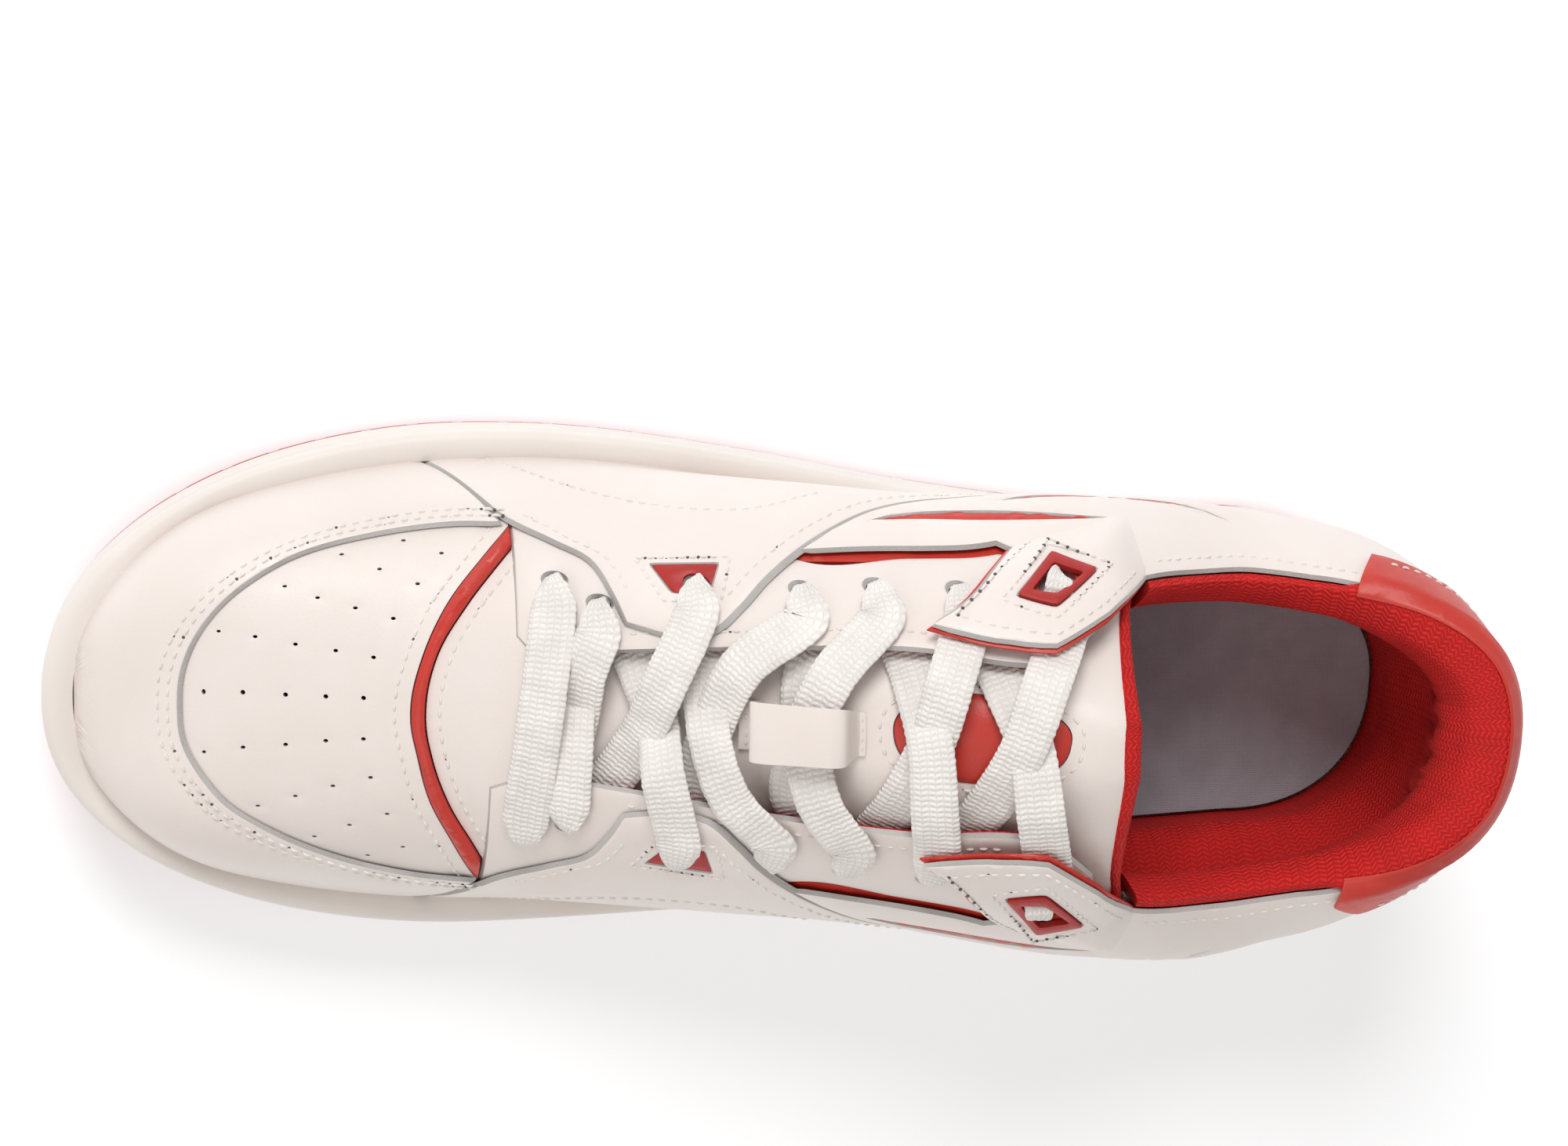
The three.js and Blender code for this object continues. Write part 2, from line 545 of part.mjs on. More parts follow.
for (const [name, side] of [['medial', 1], ['lateral', -1]]) {
  const cut = (...runs) => pattern(...runs.map((run) => mirror(side, run)));
  const lead = side > 0 ? 0 : -5;       // the lateral facing starts a little nearer the toe
  const holes = eyelets[name];
  const pierce = (shape, picked, diameter = EYELET) => {
    picked.forEach((i) => shape.holes.push(roundHole(holes[i], diameter)));
    return shape;
  };

  const eyestay = cut(
    [[-57 + lead, 78], [-57 + lead, 19.5]],
    throatEdge,
    [[55, 31], [58, 44], [48, 51]], [[20, 49], [0, 46.5], [-20, 60], [-40, 78]],
  );
  add(`eyestay_${name}`, sheet(pierce(eyestay, [0, 1, 2, 3, 4, 5, 6]), upper, BASE), whiteLeather());

  const facing = cut(
    [[-56 + lead, 62], [-56 + lead, 26]],
    throatEdge.slice(1).map(([u, w]) => [u, w + 2.5]),
    [[54, 34], [56, 44], [48, 56]], [[0, 60]],
  );
  const pierced = pierce(facing, [0, 1, 2, 3, 4, 5, 6], EYELET + 1.6);
  add(`facing_lining_${name}`, sheet(pierced, upper, STIFF), redKnit());

  const saddle = cut(
    [[-76, SKIRT], ...saddleFront],
    [[-27, 22.8], ...saddleBack],
    [[42, SKIRT]],
  );
  saddle.holes.push(closedPath(mirror(side, saddleWindow)));
  add(`saddle_overlay_${name}`, sheet(saddle, upper, OVER), whiteLeather());

  const insert = pattern(...shrink(mirror(side, saddleWindow), FIT * 1.6).map((p) => [p]));
  add(`eyelet_insert_${name}`, sheet(pierce(insert, [2]), upper, [GAP, OVER[1] - 0.2]), redRubber());

  // The red underlay shows through the gap above the quarter and through its two slots.
  add(`stripe_underlay_${name}`, sheet(cut(
    [[-4, 48.5], [14, 51], [38, 54.2], [52, 54], [61, 45], [62, 40]],
    [[70, 37], [84, 32.5], [104, 30.5], [125, 27], [HEEL_MIDDLE - 1.5, 25.5]],
    [[HEEL_MIDDLE - 1.5, SKIRT], [0, SKIRT]],
  ), upper, BASE), redLeather());

  const quarter = cut(
    [[-0.6, 51.2], [14, 53.6], [38, 57]], [[46, 50], [52, 38]],
    [[60, 38.5], [70, 35.8], [84, 31.3], [104, 29.3], [125, 25.8], [HEEL_MIDDLE - 1, 24]],
    [[HEEL_MIDDLE - 1, SKIRT]],
    [[42 + FIT, SKIRT]],
    saddleBack.slice(4).reverse().map(([u, w]) => [u + FIT, w - FIT * 1.4]),
  );
  quarter.holes.push(closedPath(mirror(side, [[16, 61.2], [30, 63.8], [66, 54.6], [31, 66]])));
  quarter.holes.push(closedPath(mirror(side, [[52, 69.6], [60, 65.6], [86, 48], [67, 66.5]])));
  add(`quarter_${name}`, sheet(quarter, upper, OVER), whiteLeather());

  const strapShape = [[40, 56], [20.5, 31], [36, 27], [44, 23.5], [55, 27.5], [68, 36.5], [66, 50],
    [56, 60]];
  const backing = pattern(...mirror(side, strapShape).map((p) => [p]));
  backing.holes.push(roundHole(holes[6], EYELET + 3));
  add(`strap_backing_${name}`, sheet(backing, upper, BACKING), redLeather());
  const strap = pattern(...shrink(mirror(side, strapShape), 1.3).map((p) => [p]));
  strap.holes.push(closedPath(mirror(side, diamond)));
  add(`strap_${name}`, sheet(strap, upper, STRAP), whiteLeather());
  const ring = pattern(...shrink(mirror(side, diamond), FIT * 1.6).map((p) => [p]));
  ring.holes.push(closedPath(shrink(mirror(side, diamond), 3.4)));
  add(`eyelet_ring_${name}`, sheet(ring, upper, [STRAP[0], STRAP[1] + 0.6]), redRubber());
}

// ---- the back -----------------------------------------------------------------------------
const collarHeight = (b) => 100 - collarLine(HEEL_MIDDLE - Math.abs(b));
const COLLAR_END = 102;      // where the padded collar stops beside the tongue
const collarStations = [-COLLAR_END, ...bothWays(turnLines.filter((b) => b < COLLAR_END - 3)), COLLAR_END];

add('heel_counter', sheet(pattern([[-72, 5], [72, 5]], [[66, 36], [40, 48], [0, 52], [-40, 48], [-66, 36]]),
  heel, STIFF, heelGrid), look(0xcfc6b4, 0.9));
const foamOut = STIFF[0] - FIT;
add('collar_foam', carry((b) => {
  const top = collarHeight(b);
  return [[46, foamOut], [46, foamOut - COLLAR_FOAM * 0.8], [top - 9, foamOut - COLLAR_FOAM],
    [top - 3.5, foamOut - COLLAR_FOAM * 0.5], [top - 3, foamOut]];
}, collarStations, (h, b, height) => heel(b, h, height)), foamLook());
const liningOut = foamOut - 0.8;
add('collar_lining', carry((b) => {
  const top = collarHeight(b);
  const full = liningOut - COLLAR_FOAM;
  return [[4, liningOut], [4, liningOut - LINING], [12, liningOut - LINING],
    [20, liningOut - LINING], [29, liningOut - LINING], [39.7, liningOut - LINING - 0.3],
    [46, full - LINING], [top - 8, full - LINING - 0.4], [top - 1, full + 0.6],
    [top + 1.6, liningOut - 0.4], [top + 1.2, -0.4], [top, -0.4], [top - 0.6, foamOut + 0.4],
    [top - 1.4, liningOut - 1.2], [top - 8, full - 0.4], [47, full - 0.2], [42, liningOut - 0.3],
    [29, liningOut], [20, liningOut], [12, liningOut]];
}, collarStations, (h, b, height) => heel(b, h, height)), redKnit());

add('heel_backstay', sheet(pattern([[-13, 18], [13, 18]], [[11, 40], [12, 55]], [[-12, 55], [-11, 40]]),
  heel, HEEL, heelGrid), whiteLeather());
const tabTop = range(57, -57, 10).map((b) => [b, collarHeight(b) + 1.2]);
add('heel_tab', sheet(pattern(
  tabTop,
  [[-58, 68], [-53, 61]], [[-30, 58], [-14, 56], [14, 56], [30, 58]], [[53, 62]],
), heel, HEEL, heelGrid), redLeather());

// ---- the tongue, which hinges on the seam at its root --------------------------------------
const tongueEdge = [[-61, 11], [-40, 17], [-20, 24], [0, 28], [30, 32], [57, 33]];
const leaf = (start, end, inset) => {
  const edge = tongueEdge.filter(([u]) => u > start && u < end).map(([u, w]) => [u, w - inset]);
  const half = (u) => profile(tongueEdge)(u) - inset;
  const right = [[start, half(start)], ...edge, [end, half(end)]];
  return pattern(right, mirror(-1, right).reverse());
};
add('tongue_outer', sheet(leaf(-61, 57, 0), throat, TONGUE), whiteLeather());
add('tongue_foam', sheet(leaf(-20, 55, 3), throat, TONGUE_PAD), foamLook());
add('tongue_lining', sheet(leaf(-20, 57, 0.6), throat, TONGUE_BACK), redKnit());
add('tongue_binding', sheet(pattern([[57.5, -32], [57.5, 32]], [[60, 31], [60, -31]]), throat,
  [TONGUE_BACK[0], TONGUE[1]]), redKnit());
const patchLift = TONGUE[1] + 0.3;
const patch = new THREE.Shape(roundHole([29, 2.5], 35, 20).getPoints());
add('tongue_patch', sheet(patch, throat, [patchLift, patchLift + 0.6]), redLeather());
// The keeper is a leather loop that bridges the crossing laces.
const KEEPER_TOP = 3.9;      // high enough to clear the laces when the tongue sinks
const KEEPER_WALL = 0.9;
const keeperLow = patchLift;
const KEEPER_MIDDLE = -4;
add('lace_keeper', carry(() => [
  [-8.6, keeperLow], [-7.7, KEEPER_TOP - KEEPER_WALL], [7.4, KEEPER_TOP - KEEPER_WALL],
  [8.4, keeperLow], [10, keeperLow], [10, keeperLow + KEEPER_WALL], [9.3, keeperLow + KEEPER_WALL],
  [8, KEEPER_TOP], [-8.3, KEEPER_TOP], [-9.5, keeperLow + KEEPER_WALL], [-13, keeperLow + KEEPER_WALL],
  [-13, keeperLow],
], range(6, -4, 3), (u, w, height) => throat(u + KEEPER_MIDDLE, w, height)), whiteLeather());

// ---- the lace -----------------------------------------------------------------------------
// Its route is chosen point by point: [u, w, height, half width]. From a bar across the first pair
// of eyelets each end goes down an eyelet, comes out under the edge of the facing and crosses over
// to the next eyelet on the other side.
const wide = LACE_WIDTH / 2;
const neck = LACE_NECK / 2;
const rest = LACE_THICK / 2 + 0.7;
const onTop = [rest, rest, OVER[1] + rest, rest, rest, rest, rest + 0.15];
const lowCrossing = keeperLow + 0.9 + 1.1 + LACE_THICK / 2;
const highCrossing = lowCrossing + LACE_THICK + 0.5;

function halfLace(order, crossing) {
  const route = [];
  order.forEach(([u, w], row) => {
    const s = sideOf(w);
    const top = onTop[row];
    const lift = row === order.length - 1 ? 0 : 0.3;
    route.push([u, w - s * 9, top + lift, wide], [u, w - s * 4, top + lift, wide * 0.75]);
    route.push([u, w - s * 0.6, top - 0.2, neck], [u, w, -1.2, neck]);
    if (row === order.length - 1) {
      route.push([u + 1.5, w + s * 1, LACE_UNDER, neck], [u + 5, w + s * 3.2, LACE_UNDER, neck]);
      return;
    }
    const [nextU] = order[row + 1];
    const at = (k) => mix(u + 2.5, nextU, k);
    // The third crossing lies ahead of the keeper and the fourth is under it.
    const pulledIn = row === 2 || row === 3 ? at(0.5) - KEEPER_MIDDLE + (row === 2 ? 17.5 : 0) : 0;
    const edge = s * (row < 2 ? 15 : 24);
    route.push([u + 1, w - s * 1.4, LACE_UNDER, neck], [at(0.1), mix(w, edge, 0.6), LACE_UNDER, wide]);
    route.push([at(0.26) - pulledIn * 0.7, edge * 0.8, LACE_UNDER + (row < 2 ? 0.3 : 0.6), wide]);
    route.push([at(0.5) - pulledIn, 0, crossing, wide * 0.95]);
    route.push([at(0.72) - pulledIn * 0.7, -edge * 0.72, Math.max(crossing, onTop[row + 1] - 0.5), wide]);
  });
  return route;
}
const { medial: m, lateral: l } = eyelets;
const first = halfLace([m[0], l[1], m[2], l[3], m[4], l[5], m[6]], highCrossing);
const second = halfLace([l[0], m[1], l[2], m[3], l[4], m[5], l[6]], lowCrossing);
const barHeight = rest + 1.0;
const bar = [[-51, 9, barHeight, wide], [-53, -9, barHeight, wide]];
const laceRoute = [...first.reverse(), ...bar, ...second];

// A flat strap of changing width along the route, its flat side kept against the shoe.
function ribbon(points, thick) {
  const path = new THREE.CatmullRomCurve3(points.map(([u, w, h]) => throat(u, w, h)), false, 'centripetal');
  const count = (points.length - 1) * 3;
  const rings = [];
  let facing = null;
  for (let i = 0; i <= count; i += 1) {
    const t = i / count;
    const spot = path.getPoint(t);
    const along = path.getTangent(t);
    const at = t * (points.length - 1);
    const [p, q] = [points[Math.floor(at)], points[Math.min(Math.floor(at) + 1, points.length - 1)]];
    const part = at - Math.floor(at);
    const [u, w] = [mix(p[0], q[0], part), mix(p[1], q[1], part)];
    const out = throat(u, w, 1).sub(throat(u, w, 0));
    const across = out.clone().addScaledVector(along, -out.dot(along));
    const flatness = across.length();
    if (!facing) facing = across.clone();
    facing.addScaledVector(along, -facing.dot(along)).normalize();
    if (flatness > 0.6) facing.lerp(across.multiplyScalar(Math.sign(across.dot(facing))).normalize(), 0.6);
    facing.normalize();
    const half = mix(p[3], q[3], ease(part, 0, 1));
    const beside = along.clone().cross(facing).multiplyScalar(half);
    const face = facing.clone().multiplyScalar(thick / 2);
    rings.push([[1, -1], [-1, -1], [-1, 1], [1, 1]].map(([x, y]) => spot.clone()
      .addScaledVector(beside, x).addScaledVector(face, y)));
  }
  return loft(rings, [[0, 1, 2], [0, 2, 3]]);
}
add('lace', ribbon(laceRoute, LACE_THICK), look(0xf1ede8, 0.85));
const AGLET_DEPTH = LACE_UNDER - 0.8;
for (const [name, side, end] of [['medial', 1, m[6]], ['lateral', -1, l[6]]]) {
  const [u, w] = [end[0] + 6, end[1] + side * 3.6];
  add(`aglet_${name}`, ribbon([[u, w, AGLET_DEPTH, 1.3], [u + 6, w + side * 1.5, AGLET_DEPTH, 1.3],
    [u + 12, w + side * 3, AGLET_DEPTH, 1.1]], 2.0), look(0xf2efe9, 0.4));
}

export default shoe;
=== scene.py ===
import math
import bpy
import numpy as np
from mathutils import Matrix, Vector, kdtree
from mathutils.geometry import delaunay_2d_cdt


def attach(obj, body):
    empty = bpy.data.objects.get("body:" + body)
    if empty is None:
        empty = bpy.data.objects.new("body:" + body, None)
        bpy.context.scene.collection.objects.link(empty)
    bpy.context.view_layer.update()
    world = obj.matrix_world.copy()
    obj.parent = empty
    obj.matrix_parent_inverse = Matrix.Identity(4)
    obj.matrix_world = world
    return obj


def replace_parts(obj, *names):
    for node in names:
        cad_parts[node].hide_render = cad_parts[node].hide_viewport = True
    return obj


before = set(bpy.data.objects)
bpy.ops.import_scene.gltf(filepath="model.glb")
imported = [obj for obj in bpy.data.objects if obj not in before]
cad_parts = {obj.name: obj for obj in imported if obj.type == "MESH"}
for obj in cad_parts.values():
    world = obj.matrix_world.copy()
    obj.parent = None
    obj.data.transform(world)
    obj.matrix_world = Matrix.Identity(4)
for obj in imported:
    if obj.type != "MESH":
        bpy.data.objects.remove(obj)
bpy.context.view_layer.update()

MM = 0.001

# ---- where it stands ------------------------------------------------------------------------
# The shoe stands on a plain pale floor, seen from above and a little towards the toe and the
# inner side. A soft light stands on the inner side and a weaker, broader one on the outer.
look_at = Vector((1.48, 25.9, 40.0)) * MM
camera_distance = 0.65
tilt_in, tilt_toe, roll = math.radians(8), math.radians(11), math.radians(1.23)
towards = Vector((-math.sin(tilt_toe) * math.cos(tilt_in), math.sin(tilt_in),
                  math.cos(tilt_in) * math.cos(tilt_toe))).normalized()
level = Vector((0, 1, 0)).cross(towards).normalized()
upright = towards.cross(level)
picture_right = level * math.cos(roll) + upright * math.sin(roll)
picture_up = upright * math.cos(roll) - level * math.sin(roll)
lens = bpy.data.cameras.new("camera")
lens.lens = 70.57
lens.sensor_width = 36.0
lens.clip_start = 0.01
camera = bpy.data.objects.new("camera", lens)
bpy.context.scene.collection.objects.link(camera)
turned = Matrix((picture_right, picture_up, towards)).transposed()
camera.matrix_world = Matrix.Translation(look_at + towards * camera_distance) @ turned.to_4x4()
bpy.context.scene.camera = camera


def soft_light(name, place, size, power, colour):
    light = bpy.data.lights.new(name, "AREA")
    light.shape = "DISK"
    light.size = size
    light.energy = power
    light.color = colour
    lamp = bpy.data.objects.new(name, light)
    bpy.context.scene.collection.objects.link(lamp)
    lamp.location = place
    lamp.rotation_euler = (Vector((0, 0, 0.04)) - Vector(place)).to_track_quat("-Z", "Y").to_euler()


soft_light("key_light", (-0.2, 1.0, 1.05), 0.7, 11.0, (1.0, 0.99, 0.985))
soft_light("fill_light", (-0.9, -0.7, 1.3), 1.6, 7.0, (1.0, 0.97, 0.94))
surroundings = bpy.data.worlds.new("surroundings")
bpy.context.scene.world = surroundings
surroundings.use_nodes = True
surroundings.node_tree.nodes["Background"].inputs["Color"].default_value = (1.0, 0.975, 0.95, 1)
surroundings.node_tree.nodes["Background"].inputs["Strength"].default_value = 0.5
bpy.context.scene.view_settings.view_transform = "Standard"


def new_material(name, roughness, **plain):
    """A material with a Principled shader, its plain values set on the shader's own sockets."""
    made = bpy.data.materials.new(name)
    made.use_nodes = True
    shader = made.node_tree.nodes["Principled BSDF"]
    shader.inputs["Roughness"].default_value = roughness
    for label, value in plain.items():
        shader.inputs[label.replace("_", " ")].default_value = value
    return made, made.node_tree, shader


def put(tree, kind, *links, **values):
    """A node with its inputs linked or set in order: (socket, source or value) pairs."""
    made = tree.nodes.new(kind)
    for label, value in values.items():
        setattr(made, label, value)
    for socket, source in links:
        if isinstance(source, bpy.types.NodeSocket):
            tree.links.new(source, made.inputs[socket])
        else:
            made.inputs[socket].default_value = source
    return made


def sum_up(tree, operation, a, b=0.0, c=0.0):
    """The result of one sum on sockets or numbers; only a multiply-add reads the third."""
    return put(tree, "ShaderNodeMath", (0, a), (1, b), (2, c), operation=operation).outputs[0]


floor_paint, tree, shader = new_material("floor_paint", 0.9, Emission_Strength=0.2)
floor_spots = put(tree, "ShaderNodeTexNoise", ("Scale", 3.0))
floor_shade = put(tree, "ShaderNodeMix", (0, floor_spots.outputs[0]), (6, (0.95, 0.965, 0.985, 1)),
                  (7, (0.97, 0.98, 0.995, 1)), data_type="RGBA")
tree.links.new(floor_shade.outputs[2], shader.inputs["Base Color"])
tree.links.new(floor_shade.outputs[2], shader.inputs["Emission Color"])
floor_mesh = bpy.data.meshes.new("floor")
floor_half = 4
floor_mesh.from_pydata([(x * floor_half, y * floor_half, 0) for x, y in ((-1, -1), (1, -1), (1, 1), (-1, 1))],
                       [], [(0, 1, 2, 3)])
floor_mesh.materials.append(floor_paint)
floor = bpy.data.objects.new("floor", floor_mesh)
bpy.context.scene.collection.objects.link(floor)

# ---- outsole --------------------------------------------------------------------------------
# A thin red rubber tread, moulded in cross bars with grooves between them, which shows as a red
# line under the toe. It is cemented under the cup.
LENGTH = 304.0
TOE, HEEL_START, HEEL_TURN = -152.0, 106.0, 64.0
HEEL_MIDDLE = HEEL_START + HEEL_TURN
TREAD, GROOVE, BAR, GROOVE_WIDTH = 3.0, 1.3, 7.5, 2.4


def profile(points):
    """A smooth curve through [station, value] points, level outside them."""
    at, value = (np.array(column, float) for column in zip(*points))
    run = np.diff(at)
    grade = np.diff(value) / run
    slope = np.empty_like(value)
    slope[0], slope[-1] = grade[0], grade[-1]
    slope[1:-1] = (grade[:-1] * run[1:] + grade[1:] * run[:-1]) / (run[1:] + run[:-1])

    def read(x):
        x = np.clip(np.asarray(x, float), at[0], at[-1])
        i = np.clip(np.searchsorted(at, x, side="right") - 1, 0, len(at) - 2)
        t = (x - at[i]) / run[i]
        bend = t * t * (3 - 2 * t)
        lift = t * (1 - t) ** 2 * run[i] * slope[i] + t * t * (t - 1) * run[i] * slope[i + 1]
        return value[i] + (value[i + 1] - value[i]) * bend + lift
    return read


def ease(x, low, high):
    """0 below low and 1 above high, with a smooth change between them."""
    t = np.clip((np.asarray(x, float) - low) / (high - low), 0, 1)
    return t * t * (3 - 2 * t)


def round_off(d, power):
    return (1 - np.clip(d, 0, 1) ** power) ** (1 / power)


medial_half = profile([(-152, 50), (-100, 53), (-42, 54), (0, 48.5), (35, 42), (70, 37.5), (106, 36)])
lateral_half = profile([(-152, 50), (-100, 51.5), (-60, 52), (-20, 50.5), (20, 48), (60, 46), (106, 43)])


def toe_spring(u):
    return 12 * np.clip((-70 - np.asarray(u, float)) / 82, 0, None) ** 2


def feather_edge(u):
    return 14 + 7 * ease(u, -20, 110) + toe_spring(u)


def rim_height(u):
    return 26 + 8 * ease(u, -40, 120) + 0.75 * toe_spring(u)


def plan(u, side, inset):
    """Outline of the shoe in plan, moved in by inset: x, half width, distance behind the heel start."""
    flat = np.minimum(u, HEEL_START)
    x = flat + inset * (1 - ease(u, TOE, TOE + 40))
    full = np.where(side > 0, medial_half(flat), lateral_half(flat)) - inset
    half = full * round_off((90 - (flat - TOE)) / 90, 2.2)
    turn = np.clip((u - HEEL_START) / HEEL_TURN, 0, 1) * np.pi / 2
    depth = LENGTH / 2 - inset - HEEL_START
    return x, half * np.cos(turn).clip(0) ** (2 / 2.25), depth * np.sin(turn) ** (2 / 2.25)


def sole_ring(stations, inset, height):
    """Points round the sole: medial side from toe to heel, then back along the lateral side."""
    u = np.concatenate([stations, stations[-2:0:-1]])
    side = np.concatenate([np.ones(len(stations)), -np.ones(len(stations) - 2)])
    x, half, behind = plan(u, side, inset)
    return np.stack([x + behind, side * half, height(u)], 1)


def keep(name, spots, faces, material, body="shoe", also=(), marks=None, uv=None):
    """A mesh piece in millimetres, smooth but for its sharp edges, that rides on a body."""
    mesh = bpy.data.meshes.new(name)
    mesh.from_pydata([tuple(p) for p in np.asarray(spots) * MM], [], faces)
    for paint in (material, *also):
        mesh.materials.append(paint)
    if marks is not None:
        mesh.polygons.foreach_set("material_index", marks)
    if uv is not None:
        layer = mesh.uv_layers.new(name="Cloth")
        corners = np.zeros(len(mesh.loops), np.int32)
        mesh.loops.foreach_get("vertex_index", corners)
        layer.data.foreach_set("uv", np.asarray(uv, np.float32)[corners].ravel())
    mesh.polygons.foreach_set("use_smooth", [True] * len(mesh.polygons))
    mesh.update()
    mesh.set_sharp_from_angle(angle=math.radians(48))
    piece = bpy.data.objects.new(name, mesh)
    bpy.context.scene.collection.objects.link(piece)
    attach(piece, body)
    return piece


def hoop(rings):
    """Faces that join rings of points in turn, with bars across the first and the last."""
    size = len(rings[0])
    faces = []
    for r in range(len(rings) - 1):
        for i in range(size):
            j = (i + 1) % size
            faces.append((r * size + j, r * size + i, (r + 1) * size + i, (r + 1) * size + j))
    last_ring = (len(rings) - 1) * size
    for i in range(size // 2):
        a, b, c, d = i, i + 1, (size - i - 1) % size, (size - i) % size
        for start, quad in ((0, (a, b, c, d)), (last_ring, (d, c, b, a))):
            corners = list(dict.fromkeys(start + k for k in quad))
            if len(corners) > 2:
                faces.append(tuple(corners))
    return faces


def leather_grain_group():
    """Fine pores and soft creases; colour drifts between the two colours it is given."""
    group = bpy.data.node_groups.new("leather_grain", "ShaderNodeTree")
    for label, kind in (("Colour", "NodeSocketColor"), ("Shade", "NodeSocketColor"),
                        ("Pore Size", "NodeSocketFloat"), ("Crease", "NodeSocketFloat")):
        group.interface.new_socket(label, in_out="INPUT", socket_type=kind)
    for label, kind in (("Colour", "NodeSocketColor"), ("Roughness", "NodeSocketFloat"),
                        ("Height", "NodeSocketFloat")):
        group.interface.new_socket(label, in_out="OUTPUT", socket_type=kind)
    given = group.nodes.new("NodeGroupInput")
    place = group.nodes.new("ShaderNodeTexCoord").outputs["Object"]
    fine = sum_up(group, "DIVIDE", 1000.0, given.outputs["Pore Size"])
    pores = put(group, "ShaderNodeTexVoronoi", ("Vector", place), ("Scale", fine), feature="SMOOTH_F1")
    pores.inputs["Smoothness"].default_value = 0.6
    hair = put(group, "ShaderNodeTexNoise", ("Vector", place), ("Scale", 2600.0), ("Detail", 4.0))
    drift = put(group, "ShaderNodeTexNoise", ("Vector", place), ("Scale", 38.0), ("Detail", 5.0))
    folds = put(group, "ShaderNodeTexNoise", ("Vector", place), ("Scale", 160.0), ("Detail", 6.0),
                ("Distortion", 0.8))
    blend = put(group, "ShaderNodeMapRange", ("Value", drift.outputs[0]), (1, 0.35), (2, 0.7))
    tone = put(group, "ShaderNodeMix", (0, blend.outputs[0]), (6, given.outputs["Colour"]),
               (7, given.outputs["Shade"]), data_type="RGBA")
    pits = sum_up(group, "MULTIPLY", pores.outputs["Distance"], 0.55)
    soft = sum_up(group, "MULTIPLY_ADD", hair.outputs[0], 0.22, pits)
    whole = sum_up(group, "MULTIPLY_ADD", folds.outputs[0], given.outputs["Crease"], soft)
    sheen = put(group, "ShaderNodeMapRange", ("Value", folds.outputs[0]), (1, 0.3), (2, 0.75),
                (3, 0.42), (4, 0.56))
    leave = group.nodes.new("NodeGroupOutput")
    group.links.new(tone.outputs[2], leave.inputs["Colour"])
    group.links.new(sheen.outputs[0], leave.inputs["Roughness"])
    group.links.new(whole, leave.inputs["Height"])
    return group


leather_grain = leather_grain_group()


def grained(name, colour, shade, pore, crease, depth, roughness=None, **plain):
    """Leather or rubber: the grain group feeds colour, roughness and a bump."""
    made, tree, shader = new_material(name, roughness or 0.5, **plain)
    grain = tree.nodes.new("ShaderNodeGroup")
    grain.node_tree = leather_grain
    grain.inputs["Colour"].default_value = (*colour, 1)
    grain.inputs["Shade"].default_value = (*shade, 1)
    grain.inputs["Pore Size"].default_value = pore
    grain.inputs["Crease"].default_value = crease
    tree.links.new(grain.outputs["Colour"], shader.inputs["Base Color"])
    if roughness is None:
        tree.links.new(grain.outputs["Roughness"], shader.inputs["Roughness"])
    bump = put(tree, "ShaderNodeBump", ("Height", grain.outputs["Height"]), ("Distance", depth * MM),
               ("Strength", 1.0))
    tree.links.new(bump.outputs[0], shader.inputs["Normal"])
    return made


red_rubber = grained("red_rubber", (0.42, 0.020, 0.016), (0.36, 0.016, 0.013), 0.9, 0.3, 0.05, 0.5)
toe_steps = TOE + 44 * np.linspace(0, 1, 40) ** 2
round_heel = HEEL_START + HEEL_TURN * np.linspace(0, 1, 40)[1:]
pitch = BAR + GROOVE_WIDTH
first_bar = -12 * pitch - GROOVE_WIDTH - BAR / 2
bars = [first_bar + i * pitch for i in range(int((HEEL_START + 30 - first_bar) / pitch))]
bar_edges = [e for b in bars for e in (b, b + 0.25, b + GROOVE_WIDTH - 0.25, b + GROOVE_WIDTH)]
between = [b + GROOVE_WIDTH + BAR * k for b in bars for k in (0.33, 0.67)]
far_back = np.linspace(bars[-1] + pitch + 1, HEEL_MIDDLE, 14)
tread_steps = np.sort(np.concatenate([toe_steps[toe_steps < first_bar - 0.5], bar_edges, between, far_back]))


def in_groove(u):
    deep = np.zeros_like(u)
    for b in bars:
        deep = np.maximum(deep, (u > b + 0.1) & (u < b + GROOVE_WIDTH - 0.1))
    return deep


def tread_mid(u):
    return toe_spring(u) + TREAD


rings = [
    sole_ring(tread_steps, 1.0, lambda u: toe_spring(u) + GROOVE * in_groove(u)),
    sole_ring(tread_steps, 0.35, lambda u: toe_spring(u) + 0.35 + (GROOVE - 0.35) * in_groove(u)),
    sole_ring(tread_steps, 0.3, lambda u: tread_mid(u) - 1.2),
    sole_ring(tread_steps, 0.3, lambda u: tread_mid(u) - 0.4),
    sole_ring(tread_steps, 0.7, tread_mid),
]
outsole = keep("outsole", np.concatenate(rings), hoop(rings), red_rubber)
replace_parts(outsole, "outsole_tread")

# ---- cup sole -------------------------------------------------------------------------------
# A moulded off-white rubber cup: its wall rises round the foot to a rounded rim, with a shallow
# line moulded below the rim. The upper is cemented and stitched inside it.
CUP_WALL, CUP_FLOOR = 4.3, 6.0
white_rubber = grained("white_rubber", (0.82, 0.77, 0.73), (0.78, 0.725, 0.68), 1.1, 0.5, 0.035, 0.5)
cup_steps = np.concatenate([toe_steps, np.linspace(-108, HEEL_START, 110)[1:], round_heel])


def cup_low(u):
    return toe_spring(u) + TREAD + 0.25


def up_wall(share):
    return lambda u: cup_low(u) + (rim_height(u) - cup_low(u)) * share


def under_rim(drop):
    return lambda u: rim_height(u) - drop


